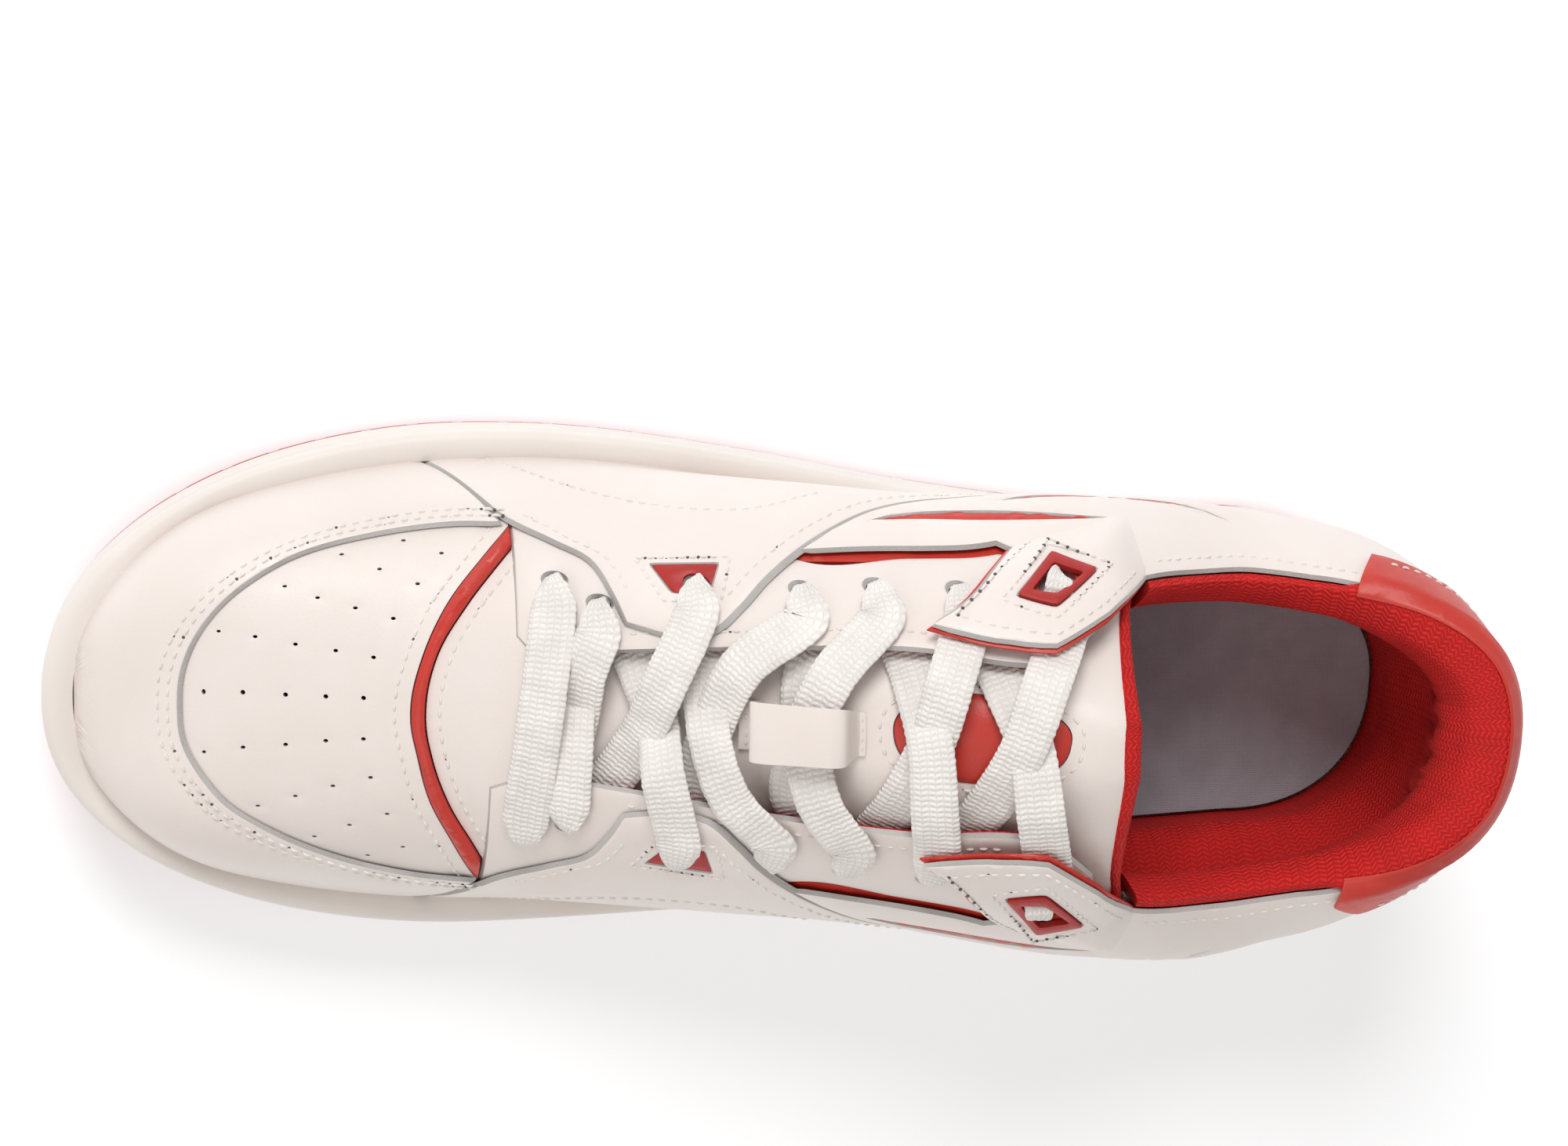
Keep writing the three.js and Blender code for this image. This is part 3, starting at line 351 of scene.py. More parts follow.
# ---- inside the cup -------------------------------------------------------------------------
# Lifting foam, a pressed fibre board and the toe and heel stiffeners are cemented in and hidden.
# The loose dark grey footbed lies on the board; its brushed cloth shows in the mouth.
foam_paint = grained("foam_cells", (0.70, 0.64, 0.55), (0.62, 0.56, 0.47), 1.6, 0.3, 0.2, 0.95)
fibre_paint = grained("fibre_board", (0.58, 0.50, 0.40), (0.52, 0.44, 0.34), 0.5, 0.6, 0.08, 0.9)
for hidden in ("midsole_foam", "collar_foam", "tongue_foam"):
    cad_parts[hidden].data.materials.clear()
    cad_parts[hidden].data.materials.append(foam_paint)
for hidden in ("insole_board", "toe_puff", "heel_counter"):
    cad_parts[hidden].data.materials.clear()
    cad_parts[hidden].data.materials.append(fibre_paint)


def weave_group():
    """Slanted loops in columns, as in a knit or a flat woven lace; the vector is in millimetres. Its second
    output masks the grooves between the loops, where the cloth is darkened as painted shade.
    """
    group = bpy.data.node_groups.new("weave", "ShaderNodeTree")
    for label, kind in (("Vector", "NodeSocketVector"), ("Column", "NodeSocketFloat"),
                        ("Row", "NodeSocketFloat"), ("Slant", "NodeSocketFloat")):
        group.interface.new_socket(label, in_out="INPUT", socket_type=kind)
    for label in ("Height", "Gap Shade"):
        group.interface.new_socket(label, in_out="OUTPUT", socket_type="NodeSocketFloat")
    given = group.nodes.new("NodeGroupInput")
    wobble = put(group, "ShaderNodeTexNoise", ("Vector", given.outputs["Vector"]), ("Scale", 0.7))
    wobble_on = sum_up(group, "MULTIPLY_ADD", wobble.outputs[0], 0.35, -0.17)
    axes = put(group, "ShaderNodeSeparateXYZ", ("Vector", given.outputs["Vector"]))
    column = sum_up(group, "DIVIDE", axes.outputs[0], given.outputs["Column"])
    row = sum_up(group, "DIVIDE", axes.outputs[1], given.outputs["Row"])
    wedge = sum_up(group, "PINGPONG", column, 1.0)
    slanted = sum_up(group, "MULTIPLY_ADD", wedge, given.outputs["Slant"], row)
    moved = sum_up(group, "ADD", slanted, wobble_on)
    wave = sum_up(group, "SINE", sum_up(group, "MULTIPLY", moved, 2 * math.pi))
    ridge = sum_up(group, "MULTIPLY_ADD", wave, 0.5, 0.5)
    half_way = sum_up(group, "SINE", sum_up(group, "MULTIPLY", column, math.pi))
    rib = sum_up(group, "POWER", sum_up(group, "ABSOLUTE", half_way), 0.5)
    height = sum_up(group, "MULTIPLY", ridge, rib)
    # Mask of painted shade: 1 at the bottom of the grooves between loops, 0 on their crowns.
    gap = put(group, "ShaderNodeMapRange", ("Value", height), (1, 0.0), (2, 0.5), (3, 1.0), (4, 0.0))
    leave = group.nodes.new("NodeGroupOutput")
    group.links.new(height, leave.inputs["Height"])
    group.links.new(gap.outputs[0], leave.inputs["Gap Shade"])
    return group


weave = weave_group()


def woven(name, colour, shade, column, row, slant, depth, roughness=0.9, fuzz=0.25, **plain):
    """Cloth laid out in millimetres on its own flat pattern. Down in the gaps between the loops its colour
    turns to the darker shade colour: painted shade.
    """
    made, tree, shader = new_material(name, roughness, **plain)
    flat = put(tree, "ShaderNodeUVMap", uv_map="Cloth")
    cloth = tree.nodes.new("ShaderNodeGroup")
    cloth.node_tree = weave
    tree.links.new(flat.outputs[0], cloth.inputs["Vector"])
    cloth.inputs["Column"].default_value = column
    cloth.inputs["Row"].default_value = row
    cloth.inputs["Slant"].default_value = slant
    patchy = put(tree, "ShaderNodeTexNoise", ("Vector", flat.outputs[0]), ("Scale", 0.12), ("Detail", 4.0))
    # Painted shade: the colour turns to the darker shade colour in the gaps between the loops.
    lower = put(tree, "ShaderNodeMix", (0, cloth.outputs["Gap Shade"]), (6, (*colour, 1)), (7, (*shade, 1)),
                data_type="RGBA")
    dim = put(tree, "ShaderNodeMapRange", ("Value", patchy.outputs[0]), (1, 0.3), (2, 0.7), (3, 0.9),
              (4, 1.06))
    spread = put(tree, "ShaderNodeHueSaturation", ("Value", dim.outputs[0]), ("Color", lower.outputs[2]))
    tree.links.new(spread.outputs[0], shader.inputs["Base Color"])
    fibre = put(tree, "ShaderNodeTexNoise", ("Vector", flat.outputs[0]), ("Scale", 4.5), ("Detail", 3.0))
    height = sum_up(tree, "MULTIPLY_ADD", fibre.outputs[0], fuzz, cloth.outputs["Height"])
    bump = put(tree, "ShaderNodeBump", ("Height", height), ("Distance", depth * MM), ("Strength", 1.0))
    tree.links.new(bump.outputs[0], shader.inputs["Normal"])
    return made


# The second, darker colour is painted shade in the gaps of the weave.
footbed_cloth = woven("footbed_cloth", (0.42, 0.455, 0.50), (0.33, 0.35, 0.39), 0.5, 0.5, 0.5, 0.06,
                      0.92, 1.2, Sheen_Weight=0.25)
BOARD, FOOTBED, BED_FIT, BED_INSET = 1.4, 3.6, 0.35, 11.85


def bed_ring(inset, lift):
    return sole_ring(cup_steps, BED_INSET + inset, lambda u: feather_edge(u) + BOARD + BED_FIT + lift)


bed_rings = [bed_ring(1.6, 0.0), bed_ring(0.9, FOOTBED * 0.8), bed_ring(1.2, FOOTBED),
             bed_ring(2.4, FOOTBED), bed_ring(4.5, FOOTBED * 0.86), bed_ring(9.0, FOOTBED * 0.72),
             bed_ring(18.0, FOOTBED * 0.66)]
bed_spots = np.concatenate(bed_rings)
footbed = keep("footbed_cover", bed_spots, hoop(bed_rings), footbed_cloth, uv=bed_spots[:, :2])
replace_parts(footbed, "footbed")

# ---- toe lining -----------------------------------------------------------------------------
# Red knit glued inside the toe. It is laid on the last, the foot shape that every piece of the
# upper is pulled over, so the last is set out here for all of them.
EDGE = 6.6
ridge_line = profile([(-152, 36), (-135, 43), (-120, 47.5), (-100, 51.5), (-80, 56), (-62, 61),
                      (-45, 68), (-30, 76), (-10, 87), (10, 96), (30, 103.5), (50, 109), (65, 112),
                      (106, 114)])
medial_swell = profile([(-60, 0), (-20, 4), (20, 9), (60, 14), (106, 9), (150, 3)])
lateral_swell = profile([(-60, 0), (-20, 4), (20, 9), (60, 16), (90, 18), (120, 11), (150, 3)])
lean_in = profile([(0, 0), (60, 3), (106, 3.5), (150, 2.5)])
wall_top = profile([(20, 96), (50, 90), (75, 82), (95, 80), (120, 86), (150, 93), (170, 94)])
squareness = profile([(-152, 4), (-132, 3.3), (-110, 2.6), (-85, 2.3), (-40, 2.25), (20, 2.2), (60, 2.4)])
collar_line = profile([(58, 38), (68, 35), (84, 30), (104, 28), (125, 24), (170, 22)])


def last(u, side, up, opening=1.0):
    """The last: an arch over the foot that opens into upright walls behind the instep."""
    x, half, behind = plan(u, side, EDGE)
    flat = np.minimum(u, HEEL_START)
    foot, crown, wall = feather_edge(flat), ridge_line(flat), wall_top(u)
    angle = np.clip(up, 0, 1) * np.pi / 2
    power = 2 / squareness(flat)
    height = (crown - foot) * round_off((6 - (flat - TOE)) / 6, 2) ** 0.7
    arch_in = np.clip(np.cos(angle), 0, None) ** power
    reach = np.maximum(np.hypot(half, behind), 1e-6)
    opened = ease(u, 30, 95) * opening
    wall_in = 1 - lean_in(u) * np.clip(up * 1.25, 0, None) ** 3 / reach
    z_arch = foot + height * np.sin(angle) ** power
    z = z_arch + (foot + (wall - foot) * up * 1.25 - z_arch) * opened
    top = crown + (wall - crown) * opened
    share = np.clip((z - rim_height(flat) - 2.5) / (top - rim_height(flat) - 5), 0, 1)
    swell = np.where(side > 0, medial_swell(u), lateral_swell(u))
    bulge = swell * np.sin(np.pi * share ** 0.85).clip(0) ** 1.2 / reach
    k = arch_in + (wall_in - arch_in) * opened + bulge * (arch_in + (1 - arch_in) * opened)
    return np.stack([x + behind * k, side * half * k, z], -1)


def on_upper(p, q):
    return last(p, np.where(q < 0, -1, 1), 1 - np.abs(q) / 100)


def on_throat(p, q):
    return last(p, np.where(q < 0, -1, 1), 1 - np.abs(q) / 100, ease(np.abs(q), 8, 32))


def on_heel(p, q):
    return last(HEEL_MIDDLE - np.abs(p), np.where(p < 0, -1, 1), q / 100)


def laid(chart, flat, height):
    """Pattern points laid on the last, height millimetres out along its normal."""
    p, q = np.asarray(flat, float).T
    step = 0.5
    run = chart(p + step, q) - chart(p - step, q)
    rise = chart(p, q + step) - chart(p, q - step)
    out = np.cross(run, rise)
    out /= np.maximum(np.linalg.norm(out, axis=1, keepdims=True), 1e-9)
    return chart(p, q) + out * np.reshape(height, (-1, 1))


def curve_through(points, gap):
    """Points about gap apart along a smooth curve through the given ones; two make a straight line."""
    points = np.asarray(points, float)
    if len(points) == 1:
        return points
    ends = np.vstack([2 * points[0] - points[1], points, 2 * points[-1] - points[-2]])
    found = []
    for a, b, c, d in zip(ends, ends[1:], ends[2:], ends[3:]):
        knots = np.cumsum([0.0] + [math.sqrt(max(np.linalg.norm(n - m), 1e-6))
                                   for m, n in ((a, b), (b, c), (c, d))])
        k0, k1, k2, k3 = knots
        count = max(int(np.linalg.norm(c - b) / gap), 1)
        for t in k1 + (k2 - k1) * np.arange(count)[:, None] / count:
            first = (k1 - t) / (k1 - k0) * a + (t - k0) / (k1 - k0) * b
            second = (k2 - t) / (k2 - k1) * b + (t - k1) / (k2 - k1) * c
            third = (k3 - t) / (k3 - k2) * c + (t - k2) / (k3 - k2) * d
            low = (k2 - t) / (k2 - k0) * first + (t - k0) / (k2 - k0) * second
            high = (k3 - t) / (k3 - k1) * second + (t - k1) / (k3 - k1) * third
            found.append((k2 - t) / (k2 - k1) * low + (t - k1) / (k2 - k1) * high)
    return np.vstack([found, points[-1:]])


def pattern(*runs, gap=1.6):
    """A closed outline from runs of points: each run is smooth, and runs meet in corners."""
    corners = []
    for i, run in enumerate(runs):
        after = runs[(i + 1) % len(runs)]
        corners.append(curve_through(run, gap))
        bridge = curve_through([run[-1], after[0]], gap * 1.6)[1:-1]
        if len(bridge):
            corners.append(bridge)
    return np.vstack(corners)


def is_inside(spots, edge):
    x, y = spots[:, :1], spots[:, 1:]
    ax, ay = edge.T
    bx, by = np.roll(edge, -1, 0).T
    crosses = (ay > y) != (by > y)
    with np.errstate(divide="ignore", invalid="ignore"):
        at = (bx - ax) * (y - ay) / (by - ay) + ax
    return (crosses & (x < at)).sum(1) % 2 == 1


def gap_to(spots, edge):
    nearest = np.full(len(spots), 1e9)
    for point in edge:
        nearest = np.minimum(nearest, np.linalg.norm(spots - point, axis=1))
    return nearest


def flat_mesh(edge, holes, step):
    """Triangles of a flat pattern with holes, an even grid inside it and a row just inside its edge."""
    lines = [edge, *holes]
    low, high = edge.min(0), edge.max(0)
    across = np.arange(low[0], high[0], step)
    up = np.arange(low[1], high[1], step * 0.87)
    grid = np.array([(x + (j % 2) * step / 2, y) for j, y in enumerate(up) for x in across])
    rows = []
    for line in lines:
        along = np.roll(line, -1, 0) - np.roll(line, 1, 0)
        beside = np.stack([-along[:, 1], along[:, 0]], 1)
        beside /= np.maximum(np.linalg.norm(beside, axis=1, keepdims=True), 1e-9)
        rows += [line + beside * 0.55, line - beside * 0.55]
    rows = np.vstack(rows)
    border = np.vstack(lines)

    def within(spots):
        fine = is_inside(spots, edge)
        for hole in holes:
            fine &= ~is_inside(spots, hole)
        return fine

    rows = rows[within(rows)]
    rows = rows[gap_to(rows, border) > 0.45]
    grid = grid[within(grid)]
    grid = grid[gap_to(grid, border) > 1.1]
    spots = np.vstack([*lines, rows, grid])
    edges, start = [], 0
    for line in lines:
        edges += [(start + i, start + (i + 1) % len(line)) for i in range(len(line))]
        start += len(line)
    made = delaunay_2d_cdt([Vector(p) for p in spots], edges, [], 0, 1e-5)
    flat = np.array([tuple(p) for p in made[0]])
    faces = np.array([f for f in made[2] if len(f) == 3])
    centres = flat[faces].mean(1)
    faces = faces[within(centres)]
    a, b, c = flat[faces[:, 0]], flat[faces[:, 1]], flat[faces[:, 2]]
    turn = (b[:, 0] - a[:, 0]) * (c[:, 1] - a[:, 1]) - (b[:, 1] - a[:, 1]) * (c[:, 0] - a[:, 0])
    faces[turn < 0] = faces[turn < 0][:, ::-1]
    used = np.unique(faces)
    order = np.full(len(flat), -1)
    order[used] = np.arange(len(used))
    return flat[used], order[faces], border


pulled = []          # places where a stitch pulls the leather down


def sheet_piece(name, edge, chart, low, high, paints, holes=(), step=2.6, soft=0.35, body="shoe",
                stands_for=None, shape=None, turned=0.9, skive=0.0):
    """A sheet cut to a pattern: raw cut edges, a soft rounded border, and dips along its seams."""
    flat, faces, border = flat_mesh(edge, list(holes), step)
    from_edge = gap_to(flat, border)
    rise = -soft * np.exp(-(from_edge / turned) ** 2)
    if shape is not None:
        rise = rise + shape(flat)
    over = laid(chart, flat, high + rise)
    if pulled:
        tree = kdtree.KDTree(len(pulled))
        for i, point in enumerate(pulled):
            tree.insert(point, i)
        tree.balance()
        near = np.array([tree.find(p)[2] for p in over])
        rise = rise - 0.3 * np.exp(-(near / 1.15) ** 2)
        over = laid(chart, flat, high + rise)
    follow = np.zeros(len(flat)) if shape is None else shape(flat)
    sides = {(m, n) for a, b, c in faces for m, n in ((a, b), (b, c), (c, a))}
    rim = [(m, n) for m, n in sides if (n, m) not in sides]
    spread = np.zeros_like(flat)
    for m, n in sorted(rim):
        across = (flat[n] - flat[m])[::-1] * (1, -1)
        spread[[m, n]] += across / max(np.linalg.norm(across), 1e-9)
    far = np.linalg.norm(spread, axis=1, keepdims=True)
    skived = flat + spread / np.maximum(far, 1.2) * skive
    under = laid(chart, skived, low + np.where(follow < 0, follow, 0))
    count = len(flat)
    shell = [tuple(f) for f in faces] + [tuple(f[::-1] + count) for f in faces]
    walls = [(m, m + count, n + count, n) for m, n in sorted(rim)]
    marks = [0] * len(faces) + [1] * (len(faces) + len(walls))
    paper = np.vstack([flat, flat])
    piece = keep(name, np.vstack([over, under]), shell + walls, paints[0], body, paints[1:],
                 marks if len(paints) > 1 else None, paper)
    if stands_for:
        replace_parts(piece, stands_for)
    return piece


# The second, much darker colour is painted shade in the gaps between the knit loops.
red_knit = woven("red_knit", (0.74, 0.012, 0.010), (0.42, 0.004, 0.004), 1.5, 1.15, 0.75, 0.26, 0.85,
                 0.3)
BASE_LOW, BASE_TOP = -1.2, 0.0
OVER_LOW, OVER_TOP = 0.5, 1.7
SKIRT = 97.0
sheet_piece("toe_lining", pattern([(-66, 90), (-66, -90)], [(-150.5, -90)], [(-150.5, 90)], gap=3),
            on_upper, -5.0, -3.9, [red_knit], step=5, stands_for="vamp_lining")

# ---- rim of the cup sole --------------------------------------------------------------------
# The rounded lip of the moulded wall closes against the upper all round. The cup is made here,
# once the last is known, and stands on the tread.
def upper_at_rim(side):
    """Where the outside of the upper passes the height of the rim, for each station."""
    found = []
    w = np.linspace(45, 99.5, 120)
    for u in cup_steps:
        station = np.full(len(w), max(u, TOE + 0.6))
        spots = laid(on_upper, np.stack([station, side * w], 1), OVER_TOP - 0.15)
        found.append(spots[np.argmin(np.abs(spots[:, 2] - (float(rim_height(u)) - 0.9)))])
    return np.array(found)


against = np.vstack([upper_at_rim(1), upper_at_rim(-1)[-2:0:-1]])
tip_lip = sole_ring(cup_steps, EDGE - 0.3, under_rim(0.9))
near_tip = ease(np.abs(tip_lip[:, 0] - tip_lip[:, 0].min()), 1.0, 6.0)[:, None]
against = tip_lip + (against - tip_lip) * near_tip
outer_rings = [
    sole_ring(cup_steps, 1.4, cup_low),
    sole_ring(cup_steps, 0.5, lambda u: cup_low(u) + 0.3),
    sole_ring(cup_steps, 0.1, lambda u: cup_low(u) + 1.2),
    sole_ring(cup_steps, 0.0, up_wall(0.25)),
    sole_ring(cup_steps, 0.0, up_wall(0.5)),
    sole_ring(cup_steps, 0.0, under_rim(6.2)),
    sole_ring(cup_steps, 0.35, under_rim(5.9)),
    sole_ring(cup_steps, 0.35, under_rim(5.5)),
    sole_ring(cup_steps, 0.0, under_rim(5.2)),
    sole_ring(cup_steps, 0.0, under_rim(1.8)),
]
shoulder = sole_ring(cup_steps, 0.0, under_rim(1.8))
lip_rings = []
for across, rise in ((0.05, 0.9), (0.15, 1.5), (0.3, 1.8), (0.5, 1.85), (0.72, 1.6), (0.9, 1.2), (1.0, 0.9)):
    ring = shoulder + (against - shoulder) * across
    ring[:, 2] = shoulder[:, 2] + rise
    lip_rings.append(ring)
deep = against.copy()
deep[:, 2] -= 3.0
inner_rings = [deep, sole_ring(cup_steps, CUP_WALL + 0.4, lambda u: cup_low(u) + CUP_FLOOR)]
cup_rings = [*outer_rings, *lip_rings, *inner_rings]
cup = keep("cup_sole", np.concatenate(cup_rings), hoop(cup_rings), white_rubber)
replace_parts(cup, "cupsole")

# ---- toe panel ------------------------------------------------------------------------------
# Smooth white leather over the toes, punched with nine fans of small vent holes. Its raw edges
# show the grey suede side of the hide.
white_leather = grained("white_leather", (0.82, 0.755, 0.72), (0.79, 0.715, 0.675), 0.62, 0.5, 0.045,
                        Coat_Weight=0.12, Coat_Roughness=0.35, Subsurface_Weight=0.05,
                        Subsurface_Scale=0.001)
raw_edge = grained("raw_edge", (0.40, 0.385, 0.375), (0.56, 0.54, 0.525), 0.28, 0.7, 0.22, 0.97,
                   Sheen_Weight=0.3)
white_skins = [white_leather, raw_edge]
TIP = TOE + 1.2


def ring_hole(centre, radius, count=10):
    turn = np.linspace(0, 2 * math.pi, count, endpoint=False)
    return np.stack([centre[0] + radius * np.cos(turn), centre[1] + radius * np.sin(turn)], 1)


piping_front = [(-57.5, 54), (-63, 43), (-70.5, 28), (-75.5, 13.5), (-78, 0), (-76.5, -11), (-74, -24),
                (-69, -40), (-63, -62)]
piping_back = [(-63, -50), (-65.5, -41), (-70.5, -26), (-74, -12), (-75.5, 0), (-73, 14), (-67, 28),
               (-62, 38), (-57.5, 47)]


def moved(points, du, dw=0.0):
    return [(u + du, w + dw) for u, w in points]


thread_rows = []     # rows of stitching: pattern line, chart, height, body, pitch


def stitch(points, chart, height, body="shoe", pitch=2.7, smooth=True):
    """Marks a row of stitching, and pulls down the leather that is laid after it."""
    line = curve_through(points, 0.5) if smooth else np.vstack(
        [curve_through([a, b], 0.5)[:-1] for a, b in zip(points, points[1:])] + [points[-1:]])
    level = height if callable(height) else lambda spots: np.full(len(spots), float(height))
    spots = laid(chart, line, level(line))
    thread_rows.append((line, spots, chart, level, body, pitch))
    pulled.extend([tuple(p) for p in spots[::3]])


fans = [
    [(-71.5, 44), (-79, 49)],
    [(-76.5, 34), (-84, 39), (-91.5, 45)],
    [(-81.5, 23.5), (-89, 26.5), (-96.5, 30), (-103, 34.5)],
    [(-85.5, 12.5), (-93, 14), (-101, 15.5), (-109, 17.5), (-116.5, 19)],
    [(-87.5, 2.5), (-95, 2.5), (-103, 2.5), (-111.5, 2.5), (-120, 2)],
    [(-87.5, -6), (-95, -6.5), (-103, -7.5), (-111.5, -8), (-120, -9)],
    [(-86, -17), (-93.5, -20), (-101, -24), (-108.5, -28.5)],
    [(-82.5, -29.5), (-90, -34.5), (-97, -41)],
    [(-79, -43.5), (-86, -49)],
]
vent_holes = [ring_hole(spot, 0.5) for fan in fans for spot in fan]
stitch(moved(piping_front, -3.4), on_upper, BASE_TOP)
sheet_piece("toe_panel", pattern(moved(piping_front, -0.3), [(-63.5, -SKIRT), (TIP, -SKIRT)],
                                 [(TIP, SKIRT), (-58.5, SKIRT)]),
            on_upper, BASE_LOW, BASE_TOP, white_skins, vent_holes, 2.4, 0.15,
            stands_for="vamp_toe_panel")

# ---- red piping -----------------------------------------------------------------------------
# A crescent of folded red leather set between the toe panel and the throat piece. It stands a
# little proud along its front fold.
red_leather = grained("red_leather", (0.58, 0.032, 0.018), (0.50, 0.026, 0.015), 0.7, 0.6, 0.06,
                      Coat_Weight=0.15, Coat_Roughness=0.3)
red_skins = [red_leather, red_leather]


def crescent_crown(flat):
    return 0.6 * np.exp(-(gap_to(flat, np.array(curve_through(moved(piping_front, 2.4), 1.5))) / 2.2) ** 2)


sheet_piece("piping", pattern(piping_front, piping_back), on_upper, BASE_LOW, 0.45, red_skins,
            step=1.4, soft=0.7, stands_for="vamp_piping", shape=crescent_crown,
            turned=0.7)

# ---- toe guard ------------------------------------------------------------------------------
# A second layer of white leather round the toe, sewn down with two rows of white thread along
# its inner arc, where the raw edge shows.
arc_in = [(-59.5, 54), (-69, 54), (-84, 51.5), (-100, 46), (-111, 36), (-120, 21), (-125, 7),
          (-126, 0), (-125, -6), (-120, -18), (-113.5, -30), (-102.5, -42), (-91.5, -50), (-77, -57),
          (-64, -60)]


def outward(points, by):
    """The same line moved out from the middle of the toe."""
    middle = np.array((-84.0, 0.0))
    found = []
    for point in np.asarray(points, float):
        away = point - middle
        found.append(tuple(point + away / np.linalg.norm(away) * by))
    return found


stitch(outward(arc_in, 2.3), on_upper, OVER_TOP)
stitch(outward(arc_in, 4.9), on_upper, OVER_TOP)
sheet_piece("toe_guard", pattern(arc_in, [(-67.5, -68), (-75, -86)], [(-79, -SKIRT), (TIP, -SKIRT)],
                                 [(TIP, SKIRT), (-77.5, SKIRT)], [(-73.5, 86)]),
            on_upper, OVER_LOW, OVER_TOP, white_skins, soft=0.3, skive=0.9, stands_for="toe_mudguard")

# ---- throat piece ---------------------------------------------------------------------------
# White leather from the piping to the root of the tongue. It runs in under both eyestays and is
# sewn along the piping.
stitch(moved(piping_back, 3.0)[::-1], on_upper, -0.9)
sheet_piece("throat_piece", pattern(moved(piping_back, 0.3), [(-53.5, 42), (-53, 17)],
                                    [(-52, 6), (-52, -6)], [(-53.5, -17), (-58.5, -44)]),
            on_upper, -2.0, -0.9, white_skins, soft=0.2, stands_for="vamp_throat")

# ---- the sides ------------------------------------------------------------------------------
# On each side: an eyestay punched with seven eyelets and backed with red knit, a saddle overlay
# with a window on the third eyelet, a quarter with two slots filled with red leather over a red
# underlay, and a strap with a diamond window at the top eyelet. Edges are cut raw.
EYELET = 5.4
eyelets = {
    1: [(-49.5, 36), (-41, 30), (-22, 38), (-2, 40.5), (12.5, 43.5), (28.5, 45), (47, 41)],
    -1: [(-54.5, 37), (-46.5, 30.5), (-24.5, 39.5), (-7, 40.5), (8, 42), (24, 43), (45.5, 41.5)],
}
throat_edge = [(-54, 15), (-36, 18), (-22, 21), (-6, 24.5), (20, 28.5), (36, 26), (43, 23.5)]
saddle_front = [(-72, 86), (-58, 56), (-49, 47.5), (-42, 42), (-38, 33), (-35.5, 25)]
saddle_back = [(-20, 25.5), (-14, 33.5), (-9, 41.5), (-2, 50), (6, 57.5), (15, 64.5), (26, 70.5),
               (42, 75.5)]
saddle_window = [(-31, 42), (-17, 44.5), (-19.5, 35), (-27, 34)]
diamond = [(38, 39.5), (45.5, 34.5), (55.5, 41), (47, 49)]
red_inlay = grained("red_inlay", (0.42, 0.020, 0.018), (0.37, 0.017, 0.015), 1.4, 0.2, 0.02, 0.38)


def lies_back(flat):
    """The underlay is skived and lies deeper where the side turns in above the cup."""
    return -1.3 * ease(np.abs(flat[:, 1]), 74, 84)


def mirrored(side, points):
    """A medial pattern line on the side asked for: 1 is medial and -1 lateral."""
    return [(u, side * w) for u, w in points]


def shrunk(points, by):
    """The same outline moved in from every corner."""
    points = np.asarray(points, float)
    away = points - points.mean(0)
    far = np.linalg.norm(away, axis=1, keepdims=True)
    return points.mean(0) + away * (1 - by / far)


def crescent(start, end, bow, width):
    """A closed slot between two points: both edges bow down, the lower one further by the width."""
    start, end = np.asarray(start, float), np.asarray(end, float)
    share = np.linspace(0, 1, 13)[:, None]
    bend = np.sin(math.pi * share ** 0.9)
    straight = start + (end - start) * share
    upper_edge = straight + (0, 1) * bend * bow
    lower_edge = straight + (0, 1) * bend * (bow + width)
    return np.vstack([upper_edge, lower_edge[-2:0:-1]])


def rounded(points, radius=1.1):
    """A closed outline with its corners rounded off."""
    points = np.asarray(points, float)
    runs = []
    for before, corner, after in zip(np.roll(points, 1, 0), points, np.roll(points, -1, 0)):
        a = corner + (before - corner) / np.linalg.norm(before - corner) * radius
        b = corner + (after - corner) / np.linalg.norm(after - corner) * radius
        runs.append([a, corner * 0.6 + (a + b) * 0.2, b])
    return pattern(*runs, gap=1.0)


STRAP_LOW, STRAP_TOP = 4.1, 5.3


def sinks(flat, depth=STRAP_TOP - 0.7):
    """The strap grows out of the quarter, so away from the throat it comes down to it."""
    u, w = flat[:, 0], np.abs(flat[:, 1])
    return -depth * np.maximum(ease(w, 44, 60), ease(u, 56, 72))


def sinks_less(flat):
    """The red layer starts lower than the strap, so it has less far to come down."""
    return sinks(flat, 3.9)


def top_of_strap(line):
    return STRAP_TOP + sinks(line)


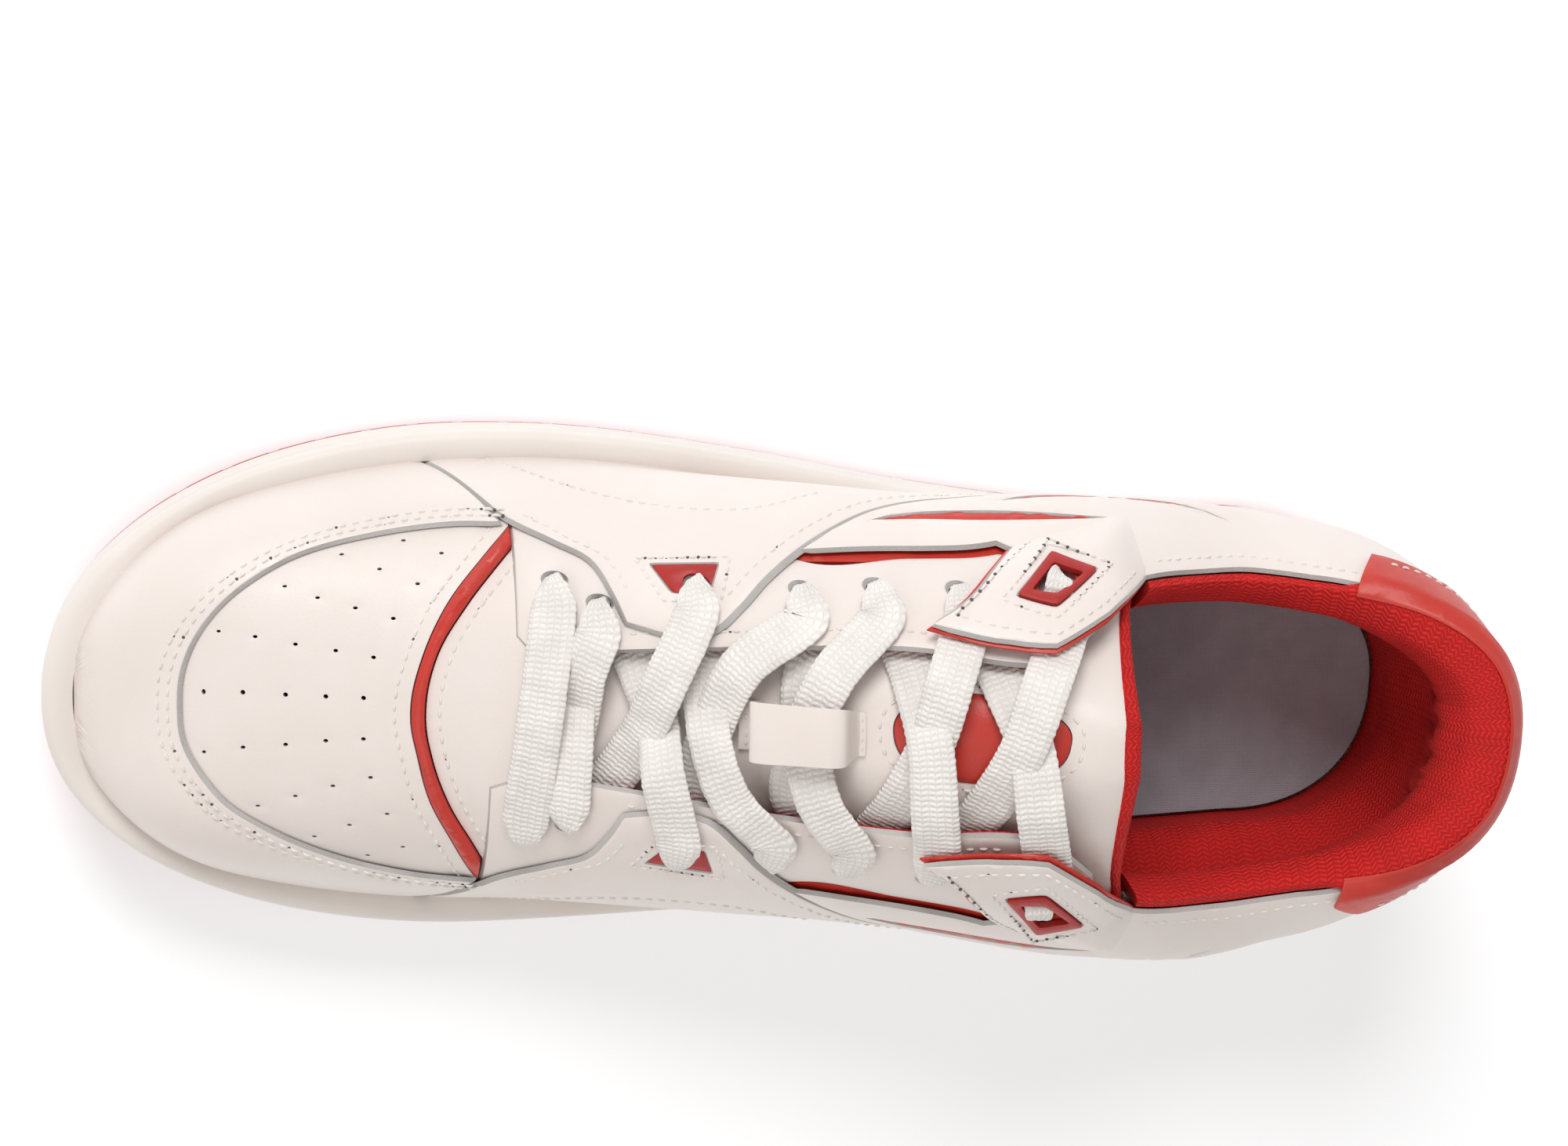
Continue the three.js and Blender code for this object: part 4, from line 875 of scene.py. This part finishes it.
for label, side in (("medial", 1), ("lateral", -1)):
    lead = 0 if side > 0 else -5
    holes = mirrored(side, eyelets[side])

    def cut(*runs, gap=1.6):
        return pattern(*[mirrored(side, run) for run in runs], gap=gap)

    stitch(mirrored(side, moved(throat_edge[1:-1], 0, 4.2)), on_upper, BASE_TOP)
    sheet_piece(f"eyestay_leather_{label}", cut(
        [(-57 + lead, 78), (-57 + lead, 19.5)], throat_edge, [(55, 31), (58, 44), (48, 51)],
        [(38, 54.4), (20, 52.2), (0, 48.2), (-20, 60), (-40, 78)]),
        on_upper, BASE_LOW, BASE_TOP, white_skins, [ring_hole(h, EYELET / 2, 18) for h in holes],
        stands_for=f"eyestay_{label}", soft=0.2, skive=0.7)
    sheet_piece(f"facing_knit_{label}", cut(
        [(-56 + lead, 62), (-56 + lead, 26)], [(u, w + 1.6) for u, w in throat_edge[1:]],
        [(54, 34), (56, 44), (48, 56)], [(0, 60)]),
        on_upper, -3.2, -2.1, [red_knit], [ring_hole(h, 3.5, 14) for h in holes], step=3.5,
        stands_for=f"facing_lining_{label}")
    stitch(mirrored(side, moved(saddle_front[1:-1], 3.0, 0.6)), on_upper, OVER_TOP)
    stitch(mirrored(side, moved(saddle_back[1:], -2.6, 1.3)), on_upper, OVER_TOP)
    stitch(mirrored(side, [(-61, 88), (-45, 68), (-34, 62), (-20, 60), (-8, 62), (6, 70)]),
           on_upper, OVER_TOP)
    window_row = mirrored(side, [*shrunk(saddle_window, -2.6), shrunk(saddle_window, -2.6)[0]])
    stitch(window_row, on_upper, OVER_TOP, smooth=False, pitch=2.2)
    sheet_piece(f"saddle_{label}", cut([(-76, SKIRT), *saddle_front], [(-27, 22.8), *saddle_back],
                                       [(42, SKIRT)]),
                on_upper, OVER_LOW, OVER_TOP, white_skins, [rounded(mirrored(side, saddle_window))],
                stands_for=f"saddle_overlay_{label}", soft=0.3, skive=1.0)
    sheet_piece(f"window_inlay_{label}", rounded(mirrored(side, shrunk(saddle_window, 0.6)), 0.9),
                on_upper, OVER_LOW, OVER_TOP - 0.3, [red_inlay], [ring_hole(holes[2], 2.6, 18)],
                step=1.6, soft=0.3, stands_for=f"eyelet_insert_{label}")
    sheet_piece(f"underlay_{label}", cut(
        [(-4, 48.5), (14, 51), (38, 54.2), (52, 54), (61, 45), (62, 40)],
        [(70, 37), (84, 32.5), (104, 30.5), (125, 27), (HEEL_MIDDLE - 1.5, 25.5)],
        [(HEEL_MIDDLE - 1.5, SKIRT), (0, SKIRT)], gap=2.5),
        on_upper, BASE_LOW - 0.45, BASE_TOP - 0.45, red_skins, step=4, stands_for=f"stripe_underlay_{label}",
        shape=lies_back)
    quarter_top = [(60, 38.5), (70, 35.8), (84, 31.3), (104, 29.3), (125, 25.8), (HEEL_MIDDLE - 1, 24)]
    stitch(mirrored(side, moved(quarter_top[1:5], 0, 3.2)), on_upper, OVER_TOP)
    slots = [crescent((13, 60.2), (64, 55.5), 4.6, 3.4), crescent((42, 69.5), (92, 45.5), 7.6, 4.2)]
    slots = [slot * (1, side) for slot in slots]
    for place, slot in zip(("low", "high"), slots):
        sheet_piece(f"slot_red_{place}_{label}", slot, on_upper, OVER_LOW - 0.3, OVER_TOP - 0.35,
                            red_skins, step=2, soft=0.5)
    sheet_piece(f"quarter_leather_{label}", cut(
        [(-0.6, 50.4), (14, 53.2), (38, 56.5)], [(46, 50), (52, 38)], quarter_top,
        [(HEEL_MIDDLE - 1, SKIRT)], [(42.4, SKIRT)],
        [(u + 0.4, w - 0.5) for u, w in saddle_back[4:][::-1]]),
        on_upper, OVER_LOW, OVER_TOP, white_skins, slots,
        stands_for=f"quarter_{label}", soft=0.3, step=3, skive=0.5)
    sheet_piece(f"strap_red_{label}", cut([(20.5, 31), (28, 39), (40, 55)], [(44, 64), (78, 62)],
                                          [(78, 40), (70, 37.6)], [(55, 27.5), (44, 23.5)], [(36, 27)]),
                on_upper, 3.0, 3.8, red_skins, [ring_hole(holes[6], 4.0, 18)],
                stands_for=f"strap_backing_{label}", soft=0.3, shape=sinks_less)
    front_row = [(46.5, 57), (36, 46), (26.2, 34.6), (37.5, 31), (44.6, 27.4), (54.5, 31.6), (64, 38)]
    strap_thread = mirrored(side, front_row)
    stitch(strap_thread, on_upper, top_of_strap, smooth=False)
    ring_row = shrunk(diamond, -2.6)
    stitch(mirrored(side, [*ring_row, ring_row[0]]), on_upper, STRAP_TOP, smooth=False, pitch=2.2)
    sheet_piece(f"strap_leather_{label}", cut([(22, 31.6), (30, 39.5), (41.5, 55)], [(45, 66), (80, 64)],
                                              [(80, 42), (70, 38.4)], [(55, 29), (44.2, 25)], [(36, 28.4)]),
                on_upper, STRAP_LOW, STRAP_TOP, white_skins, [rounded(mirrored(side, diamond))],
                stands_for=f"strap_{label}", soft=0.35, shape=sinks, skive=0.7)
    sheet_piece(f"diamond_ring_{label}", rounded(mirrored(side, shrunk(diamond, 0.6)), 0.9), on_upper,
                STRAP_LOW, STRAP_TOP + 0.5, [red_inlay], [rounded(mirrored(side, shrunk(diamond, 3.4)), 0.9)],
                step=1.6, soft=0.4, stands_for=f"eyelet_ring_{label}")

# ---- padded collar --------------------------------------------------------------------------
# Red knit rolled over foam round the ankle. It is gathered in small folds where it turns round
# the heel, because the knit is cut straight and pulled in there.
COLLAR_END, COLLAR_FOAM, LINING = 102.0, 3.4, 1.1
foam_out = -3.15 - 0.35
lining_out = foam_out - 0.8


def collar_height(b):
    return 100 - collar_line(HEEL_MIDDLE - np.abs(b))


def joined(rings):
    """Faces that join closed rings of points in turn."""
    size = len(rings[0])
    return [(r * size + i, r * size + (i + 1) % size, (r + 1) * size + (i + 1) % size, (r + 1) * size + i)
            for r in range(len(rings) - 1) for i in range(size)]


def tube(rings):
    """The same with both ends closed."""
    size = len(rings[0])
    last_ring = (len(rings) - 1) * size
    return [*joined(rings), tuple(range(size))[::-1], tuple(last_ring + i for i in range(size))]


COLLAR_POINTS = 56           # points on the shown side of each section
collar_steps = np.linspace(-COLLAR_END, COLLAR_END, 240)
collar_rings = []
collar_flat = []
full = lining_out - COLLAR_FOAM
for b in collar_steps:
    top = float(collar_height(b))
    at_heel = float(1 - ease(abs(b), 54, 60))
    section = [(4, lining_out - LINING), (14, lining_out - LINING), (26, lining_out - LINING - 0.1),
               (36, lining_out - LINING - 0.3), (44, full - LINING + 1.2), (52, full - LINING),
               (top - 14, full - LINING - 2.9), (top - 8, full - LINING - 3.2), (top - 3, full - 2.2),
               (top + 0.3, full + 0.4), (top + 1.4, lining_out + 0.4), (top + 2.0, -1.6),
               (top + 1.6, 0.2 + at_heel), (top - 0.4, 0.35 + 2.0 * at_heel)]
    outer = curve_through(section, 1.3)
    at = np.linspace(0, len(outer) - 1, COLLAR_POINTS)
    low = np.floor(at).astype(int).clip(0, len(outer) - 2)
    ring = outer[low] + (outer[low + 1] - outer[low]) * (at - low)[:, None]
    h, depth = ring.T
    crowd = np.exp(-((b + 4) / 30) ** 2) * np.exp(-((h - 52) / 14) ** 2)
    folds = (np.sin(b * 0.62 + 0.9 * np.sin(h * 0.16)) * 0.9 + np.sin(b * 1.31 + h * 0.09) * 0.5)
    depth = depth - crowd * (0.8 + folds) * 0.9
    back = [(top - 1.4, lining_out - 1.2), (44, lining_out - 0.2), (4, lining_out)]
    ring = np.vstack([np.stack([h, depth], 1), back])
    collar_rings.append(laid(on_heel, np.stack([np.full(len(ring), b), ring[:, 0]], 1), ring[:, 1]))
    run = np.concatenate([[0], np.cumsum(np.linalg.norm(np.diff(collar_rings[-1], axis=0), axis=1))])
    collar_flat.append(np.stack([np.full(len(ring), b), run], 1))
collar = keep("collar_knit", np.concatenate(collar_rings), tube(collar_rings), red_knit,
              uv=np.concatenate(collar_flat))
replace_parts(collar, "collar_lining")

# ---- heel tab and backstay ------------------------------------------------------------------
# A red leather tab wraps the back of the collar and is sewn to the quarters; a narrow white
# backstay covers the seam under it.
stitch([(-10, 20), (-8.6, 40), (-9, 54)], on_heel, 3.6)
stitch([(10, 20), (8.6, 40), (9, 54)], on_heel, 3.6)
sheet_piece("backstay", pattern([(-13, 18), (13, 18)], [(11, 40), (12, 55)], [(-12, 55), (-11, 40)]),
            on_heel, 2.4, 3.6, white_skins, stands_for="heel_backstay")
tab_top = [(b, float(collar_height(b)) + 2.4) for b in np.linspace(57, -57, 11)]


def rolls_over(flat):
    """The top edge of the tab is turned in over the collar."""
    return -2.6 * ease(flat[:, 1] - collar_height(flat[:, 0]), -1.5, 2.8)


red_thread_row = [(-50, 64.2), (-30, 61.2), (-14, 59.2), (14, 59.2), (30, 61.2), (50, 65.2)]
stitch(red_thread_row, on_heel, 3.6)
sheet_piece("heel_tab_leather", pattern(tab_top, [(-58, 68), (-53, 61)],
                                        [(-30, 58), (-14, 56), (14, 56), (30, 58)], [(53, 62)]),
            on_heel, 2.4, 3.6, red_skins, stands_for="heel_tab", soft=0.5,
            shape=rolls_over)

# ---- tongue ---------------------------------------------------------------------------------
# Padded white leather over foam with a red knit lining and a red bound end. A round window in
# the leather shows a red patch; the stitched loop in front of it keeps the laces in the middle.
TONGUE_LOW, TONGUE_TOP = -7.25, -6.05
tongue_edge = [(-61, 16), (-40, 23), (-20, 29), (0, 32), (30, 36), (57, 38)]


def leaf(start, end, inset, gap=1.6):
    edge = [(u, w - inset) for u, w in tongue_edge if start < u < end]
    half = profile(tongue_edge)
    right = [(start, float(half(start)) - inset), *edge]
    far_end = [(end + 6.5 * (w / 38) ** 2, w) for w in np.linspace(38 - inset, inset - 38, 9)]
    return pattern([*right, far_end[0]], far_end[1:-1], [far_end[-1], *mirrored(-1, right)[::-1]], gap=gap)


def padding(flat):
    """The foam stands up between the seams and thins towards the edges."""
    u, w = flat.T
    half = profile(tongue_edge)(u)
    puff = 0.5 * ease(u, -30, 0) * (1 - np.clip(np.abs(w) / half, 0, 1) ** 3) * (1 - ease(u, 50, 57))
    return puff + flare(u, w)


def flare(u, w):
    """The free end of the tongue is stiff and lies flatter than the arch of the foot."""
    return 4.5 * ease(u, 46, 60) * ease(np.abs(w), 12, 38)


patch_centre = (29.0, 2.5)
window = ring_hole(patch_centre, 17.2, 60)
window_row = ring_hole(patch_centre, 19.6, 40)
stitch([*window_row, window_row[0]], on_throat, TONGUE_TOP + 0.45, "tongue")
sheet_piece("tongue_leather", leaf(-61, 57, 0), on_throat, TONGUE_LOW, TONGUE_TOP, white_skins, [window],
            body="tongue", stands_for="tongue_outer", shape=padding)
sheet_piece("tongue_disc", ring_hole(patch_centre, 17.0, 60), on_throat, TONGUE_TOP - 0.9, TONGUE_TOP,
            red_skins, body="tongue", stands_for="tongue_patch", step=2, soft=0.3)
sheet_piece("tongue_knit", leaf(-20, 57, 0.6), on_throat, -12.6, -11.4, [red_knit], body="tongue",
            stands_for="tongue_lining", step=3.5,
            shape=lambda flat: flare(flat[:, 0], flat[:, 1]))
binding_arc = [(57.2, -12.6), (59.5, -12.2), (60.2, -9.4), (59.8, -6.7), (57.4, -5.7), (56.2, -7.4),
               (56.0, -11.5)]
binding_rings = []
binding_flat = []
for w in np.linspace(-38, 38, 100):
    loop = curve_through([*binding_arc, binding_arc[0]], 0.5)[:-1]
    at_u = loop[:, 0] + 6.5 * (w / 38) ** 2 - 0.3
    binding_rings.append(laid(on_throat, np.stack([at_u, np.full(len(loop), w)], 1),
                              loop[:, 1] + flare(at_u, w)))
    binding_flat.append(np.stack([np.full(len(loop), w), np.arange(len(loop)) * 0.55], 1))
binding = keep("tongue_edge_knit", np.concatenate(binding_rings), tube(binding_rings), red_knit, "tongue",
               uv=np.concatenate(binding_flat))
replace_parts(binding, "tongue_binding")

# The keeper is a strip of leather sewn down at both ends, standing over the crossing laces.
keeper_low = TONGUE_TOP + 0.3
KEEPER_MIDDLE = -4.0
keeper_top = [(-13, keeper_low + 0.9), (-10, keeper_low + 1.0), (-9.3, -1.5), (-8.6, 3.1), (-7, 4.1),
              (0, 4.2), (7, 4.1), (8.6, 3.1), (9.2, -1.5), (9.9, keeper_low + 1.0), (11, keeper_low + 0.9)]
over_line = curve_through([(KEEPER_MIDDLE + u, h) for u, h in keeper_top], 0.6)
along = np.gradient(over_line, axis=0)
square = np.stack([-along[:, 1], along[:, 0]], 1)
square /= np.linalg.norm(square, axis=1, keepdims=True)
under_line = over_line - square * 0.9
loop = np.vstack([over_line, under_line[::-1]])
keeper_rings = []
for across in (-6.7, -6.5, -6.0, -3, 0, 3, 6.0, 6.5, 6.7):
    thin = 0.25 if abs(across) > 6.6 else 0.0
    w = across + 1.5
    moved_loop = np.vstack([over_line - square * thin, (under_line + square * thin)[::-1]])
    keeper_rings.append(laid(on_throat, np.stack([moved_loop[:, 0], np.full(len(loop), w)], 1),
                             moved_loop[:, 1]))
turn = len(loop)
keeper_faces = joined(keeper_rings)
half_loop = len(over_line)
for r, flip in ((0, -1), (len(keeper_rings) - 1, 1)):
    for i in range(half_loop - 1):
        quad = (r * turn + i, r * turn + i + 1, r * turn + turn - 2 - i, r * turn + turn - 1 - i)
        keeper_faces.append(quad[::flip])
keeper = keep("keeper_loop", np.concatenate(keeper_rings), keeper_faces, white_leather, "tongue")
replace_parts(keeper, "lace_keeper")
for u in (-15.6, 6.3):
    stitch([(u, -4.2), (u, 7.0)], on_throat, keeper_low + 0.95, "tongue", 1.9)

# ---- lace -----------------------------------------------------------------------------------
# One flat woven cotton lace. From a bar across the first pair of eyelets each end goes down an
# eyelet, comes out under the edge of the facing and crosses to the next eyelet on the other side.
LACE_WIDTH, LACE_THICK, LACE_NECK = 9.6, 1.3, 3.4
# The second, darker colour is painted shade in the gaps of the weave.
lace_cloth = woven("lace_cloth", (0.90, 0.87, 0.84), (0.80, 0.765, 0.73), 1.5, 1.15, 0.22, 0.2, 0.88,
                   0.35, Sheen_Weight=0.15)
lace_under = -3.25 - 0.9 - LACE_THICK / 2
wide, neck, rest = LACE_WIDTH / 2, LACE_NECK / 2, LACE_THICK / 2 + 0.7
on_top = [rest, rest, OVER_TOP + rest, rest, rest, rest, rest + 0.15]
low_crossing = keeper_low + 2.0 + LACE_THICK / 2
high_crossing = low_crossing + LACE_THICK + 0.5


def half_lace(order, crossing):
    route = []
    for row, (u, w) in enumerate(order):
        s = 1 if w > 0 else -1
        top = on_top[row]
        lift = 0.0 if row == len(order) - 1 else 0.3
        route += [(u, w - s * 9, top + lift, wide), (u, w - s * 4, top + lift, wide * 0.75)]
        route += [(u, w - s * 0.6, top - 0.2, neck), (u, w, -1.2, neck)]
        if row == len(order) - 1:
            del route[-3:]
            route += [(u, w - s * 6, top + 0.3, wide * 0.8), (u - 0.6, w - s * 3.2, 3.0, wide * 0.62),
                      (u, w - s * 0.8, 5.2, wide * 0.6), (u + 0.6, w + s * 1.8, 4.0, wide * 0.5),
                      (u + 0.8, w + s * 2.0, 1.0, neck), (u + 1.5, w + s * 1.6, lace_under, neck),
                      (u + 5, w + s * 3.2, lace_under, neck)]
            return route
        next_u = order[row + 1][0]
        edge = s * (15 if row < 2 else 24)
        start = u + 2.5
        run = next_u - start
        rise = 0.3 if row < 2 else 0.6
        # The third crossing lies ahead of the keeper and the fourth is under it.
        aside = start + run * 0.5 - KEEPER_MIDDLE + (17.5 if row == 2 else 0) if row in (2, 3) else 0
        route += [(u + 1, w - s * 1.4, lace_under, neck),
                  (start + run * 0.1, w + (edge - w) * 0.6, lace_under, wide),
                  (start + run * 0.26 - aside * 0.7, edge * 0.8, lace_under + rise, wide),
                  (start + run * 0.5 - aside, 0, crossing, wide * 0.95),
                  (start + run * 0.72 - aside * 0.7, -edge * 0.72,
                   max(crossing, on_top[row + 1] - 0.5), wide)]
    return route


m, l = eyelets[1], mirrored(-1, eyelets[-1])
first_half = half_lace([m[0], l[1], m[2], l[3], m[4], l[5], m[6]], high_crossing)
second_half = half_lace([l[0], m[1], l[2], m[3], l[4], m[5], l[6]], low_crossing)
bar = [(-51, 9, rest + 1.0, wide), (-53, -9, rest + 1.0, wide)]


def ribbon(name, route, thick, material, replaced, fine=0.8):
    """A flat strap of changing width along a route, its flat side kept against the shoe."""
    route = np.array(route)
    path = laid(on_throat, route[:, :2], route[:, 2])
    data = np.hstack([path, route])
    line = curve_through_data(data, fine)
    spots, u, w, half = line[:, :3], line[:, 3], line[:, 4], line[:, 6]
    tangent = np.gradient(spots, axis=0)
    tangent /= np.linalg.norm(tangent, axis=1, keepdims=True)
    flat = np.stack([u, w], 1)
    out = laid(on_throat, flat, np.ones(len(flat))) - laid(on_throat, flat, np.zeros(len(flat)))
    facing = None
    faces_out = []
    for t, o in zip(tangent, out):
        across = o - t * o.dot(t)
        if facing is None:
            facing = across.copy()
        facing = facing - t * facing.dot(t)
        facing /= np.linalg.norm(facing)
        strength = np.linalg.norm(across)
        if strength > 0.6:
            goal = across / strength * np.sign(across.dot(facing))
            facing = facing + (goal - facing) * 0.35
            facing /= np.linalg.norm(facing)
        faces_out.append(facing.copy())
    faces_out = np.array(faces_out)
    beside = np.cross(tangent, faces_out)
    run = np.concatenate([[0], np.cumsum(np.linalg.norm(np.diff(spots, axis=0), axis=1))])
    around = [(-1, -0.3), (-0.93, -0.8), (-0.6, -1), (0, -0.9), (0.6, -1), (0.93, -0.8), (1, -0.3),
              (1, 0.3), (0.93, 0.8), (0.6, 1), (0.3, 0.9), (0, 1), (-0.3, 0.9), (-0.6, 1), (-0.93, 0.8),
              (-1, 0.3)]
    rings, paper = [], []
    for i in range(len(spots)):
        bunch = 1 + 0.9 * max(0.0, (wide - half[i]) / wide)
        ripple = 0.12 * math.sin(run[i] * 1.15) + 0.1 * math.sin(run[i] * 0.41 + 2)
        ring = []
        for x, y in around:
            sideways = x * (half[i] + 0.1 * math.sin(run[i] * 3.3 + (1 if x > 0 else 4)))
            ring.append(spots[i] + beside[i] * sideways
                        + faces_out[i] * (y * thick / 2 * bunch + ripple * x))
            paper.append((x * wide + 20, run[i]))
        rings.append(ring)
    piece = keep(name, np.concatenate(rings), tube(rings), material, uv=paper)
    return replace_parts(piece, replaced)


def curve_through_data(data, gap):
    """A smooth curve through points that also carry other values after their x, y and z."""
    ends = np.vstack([2 * data[0] - data[1], data, 2 * data[-1] - data[-2]])
    found = []
    for a, b, c, d in zip(ends, ends[1:], ends[2:], ends[3:]):
        knots = np.cumsum([0.0] + [math.sqrt(max(np.linalg.norm(n[:3] - m[:3]), 1e-6))
                                   for m, n in ((a, b), (b, c), (c, d))])
        k0, k1, k2, k3 = knots
        count = max(int(np.linalg.norm((c - b)[:3]) / gap), 2)
        for part in np.arange(count) / count:
            t = k1 + (k2 - k1) * part
            first = (k1 - t) / (k1 - k0) * a + (t - k0) / (k1 - k0) * b
            second = (k2 - t) / (k2 - k1) * b + (t - k1) / (k2 - k1) * c
            third = (k3 - t) / (k3 - k2) * c + (t - k2) / (k3 - k2) * d
            low = (k2 - t) / (k2 - k0) * first + (t - k0) / (k2 - k0) * second
            high = (k3 - t) / (k3 - k1) * second + (t - k1) / (k3 - k1) * third
            spot = (k2 - t) / (k2 - k1) * low + (t - k1) / (k2 - k1) * high
            smooth = part * part * (3 - 2 * part)
            spot[3:] = b[3:] + (c[3:] - b[3:]) * smooth
            found.append(spot)
    return np.vstack([found, data[-1:]])


ribbon("lace_ribbon", [*first_half[::-1], *bar, *second_half], LACE_THICK, lace_cloth, "lace")
aglet_film, tree, shader = new_material("aglet_film", 0.18, Coat_Weight=0.6)
film_spots = put(tree, "ShaderNodeTexNoise", ("Scale", 900.0))
film_tone = put(tree, "ShaderNodeMix", (0, film_spots.outputs[0]), (6, (0.84, 0.82, 0.78, 1)),
                (7, (0.76, 0.73, 0.69, 1)), data_type="RGBA")
tree.links.new(film_tone.outputs[2], shader.inputs["Base Color"])
for label in ("medial", "lateral"):
    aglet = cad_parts[f"aglet_{label}"]
    aglet.data.materials.clear()
    aglet.data.materials.append(aglet_film)

# ---- thread ---------------------------------------------------------------------------------
# White thread. Each stitch is a short rounded bar that dips at its ends, and a dark needle hole stands
# between it and the next: a shallow plug whose near-black colour is painted shade, the shade in a hole.
HOLE_ACROSS, HOLE_ALONG, HOLE_DEPTH = 0.4, 0.36, 0.25
SIDES = 6                    # of a stitch and of a needle hole
thread = grained("white_thread", (0.84, 0.81, 0.77), (0.72, 0.69, 0.65), 0.3, 0.2, 0.05, 0.75)
# Painted shade: the near-black plug stands for the shade down in each needle hole.
needle_hole_shade, tree, shader = new_material("needle_hole_shade", 0.95)
hole_spots = put(tree, "ShaderNodeTexNoise", ("Scale", 2000.0))
hole_shade_tone = put(tree, "ShaderNodeMix", (0, hole_spots.outputs[0]), (6, (0.07, 0.06, 0.055, 1)),
                (7, (0.14, 0.12, 0.11, 1)), data_type="RGBA")
tree.links.new(hole_shade_tone.outputs[2], shader.inputs["Base Color"])
turns = [k * math.pi / 3 for k in range(SIDES)]


def add_bar(faces, start, rings):
    """Faces of a closed bar whose rings of points begin at start."""
    for r in range(rings - 1):
        for k in range(SIDES):
            j = (k + 1) % SIDES
            faces.append((start + r * SIDES + j, start + r * SIDES + k, start + (r + 1) * SIDES + k,
                          start + (r + 1) * SIDES + j))
    last_ring = start + (rings - 1) * SIDES
    faces += [tuple(start + k for k in range(SIDES)), tuple(last_ring + k for k in range(SIDES))[::-1]]


for body in ("shoe", "tongue"):
    spots, faces, marks = [], [], []
    for line, path, chart, height, rides_on, pitch in thread_rows:
        if rides_on != body:
            continue
        run = np.concatenate([[0], np.cumsum(np.linalg.norm(np.diff(path, axis=0), axis=1))])
        count = max(int(round(run[-1] / pitch)), 1)
        gap = run[-1] / count

        def at(s, lift):
            flat = np.stack([np.interp(s, run, line[:, 0]), np.interp(s, run, line[:, 1])], 1)
            return laid(chart, flat, height(flat) + lift)

        for i in range(count):
            s = np.array([0.2, 0.32, 0.5, 0.68, 0.8]) * gap + i * gap
            middle = at(s, -0.28 + np.array([-0.2, 0.10, 0.16, 0.10, -0.2]))
            above = at(s, np.full(5, 1.0))
            along = np.gradient(middle, axis=0)
            along /= np.linalg.norm(along, axis=1, keepdims=True)
            out = above - middle
            out -= along * (out * along).sum(1, keepdims=True)
            out /= np.linalg.norm(out, axis=1, keepdims=True)
            beside = np.cross(along, out)
            start = len(spots)
            for p, o, b, r in zip(middle, out, beside, (0.18, 0.3, 0.33, 0.3, 0.18)):
                for turned_by in turns:
                    spots.append(p + o * math.sin(turned_by) * r + b * math.cos(turned_by) * r)
            add_bar(faces, start, 5)
            marks += [0] * (4 * SIDES + 2)
            # The needle hole: a shallow plug coloured with painted shade.
            centre = at(np.array([i * gap]), -0.27)[0]
            over = at(np.array([i * gap]), 1.0)[0]
            up = (over - centre) / np.linalg.norm(over - centre)
            b = np.cross(along[0], up)
            b /= np.linalg.norm(b)
            f = np.cross(up, b)
            start = len(spots)
            for lift in (0.0, -HOLE_DEPTH):
                for turned_by in turns:
                    spots.append(centre + up * lift + b * math.cos(turned_by) * HOLE_ACROSS
                                 + f * math.sin(turned_by) * HOLE_ALONG)
            add_bar(faces, start, 2)
            marks += [1] * (SIDES + 2)
    keep(f"thread_{body}", spots, faces, thread, body, [needle_hole_shade], marks)
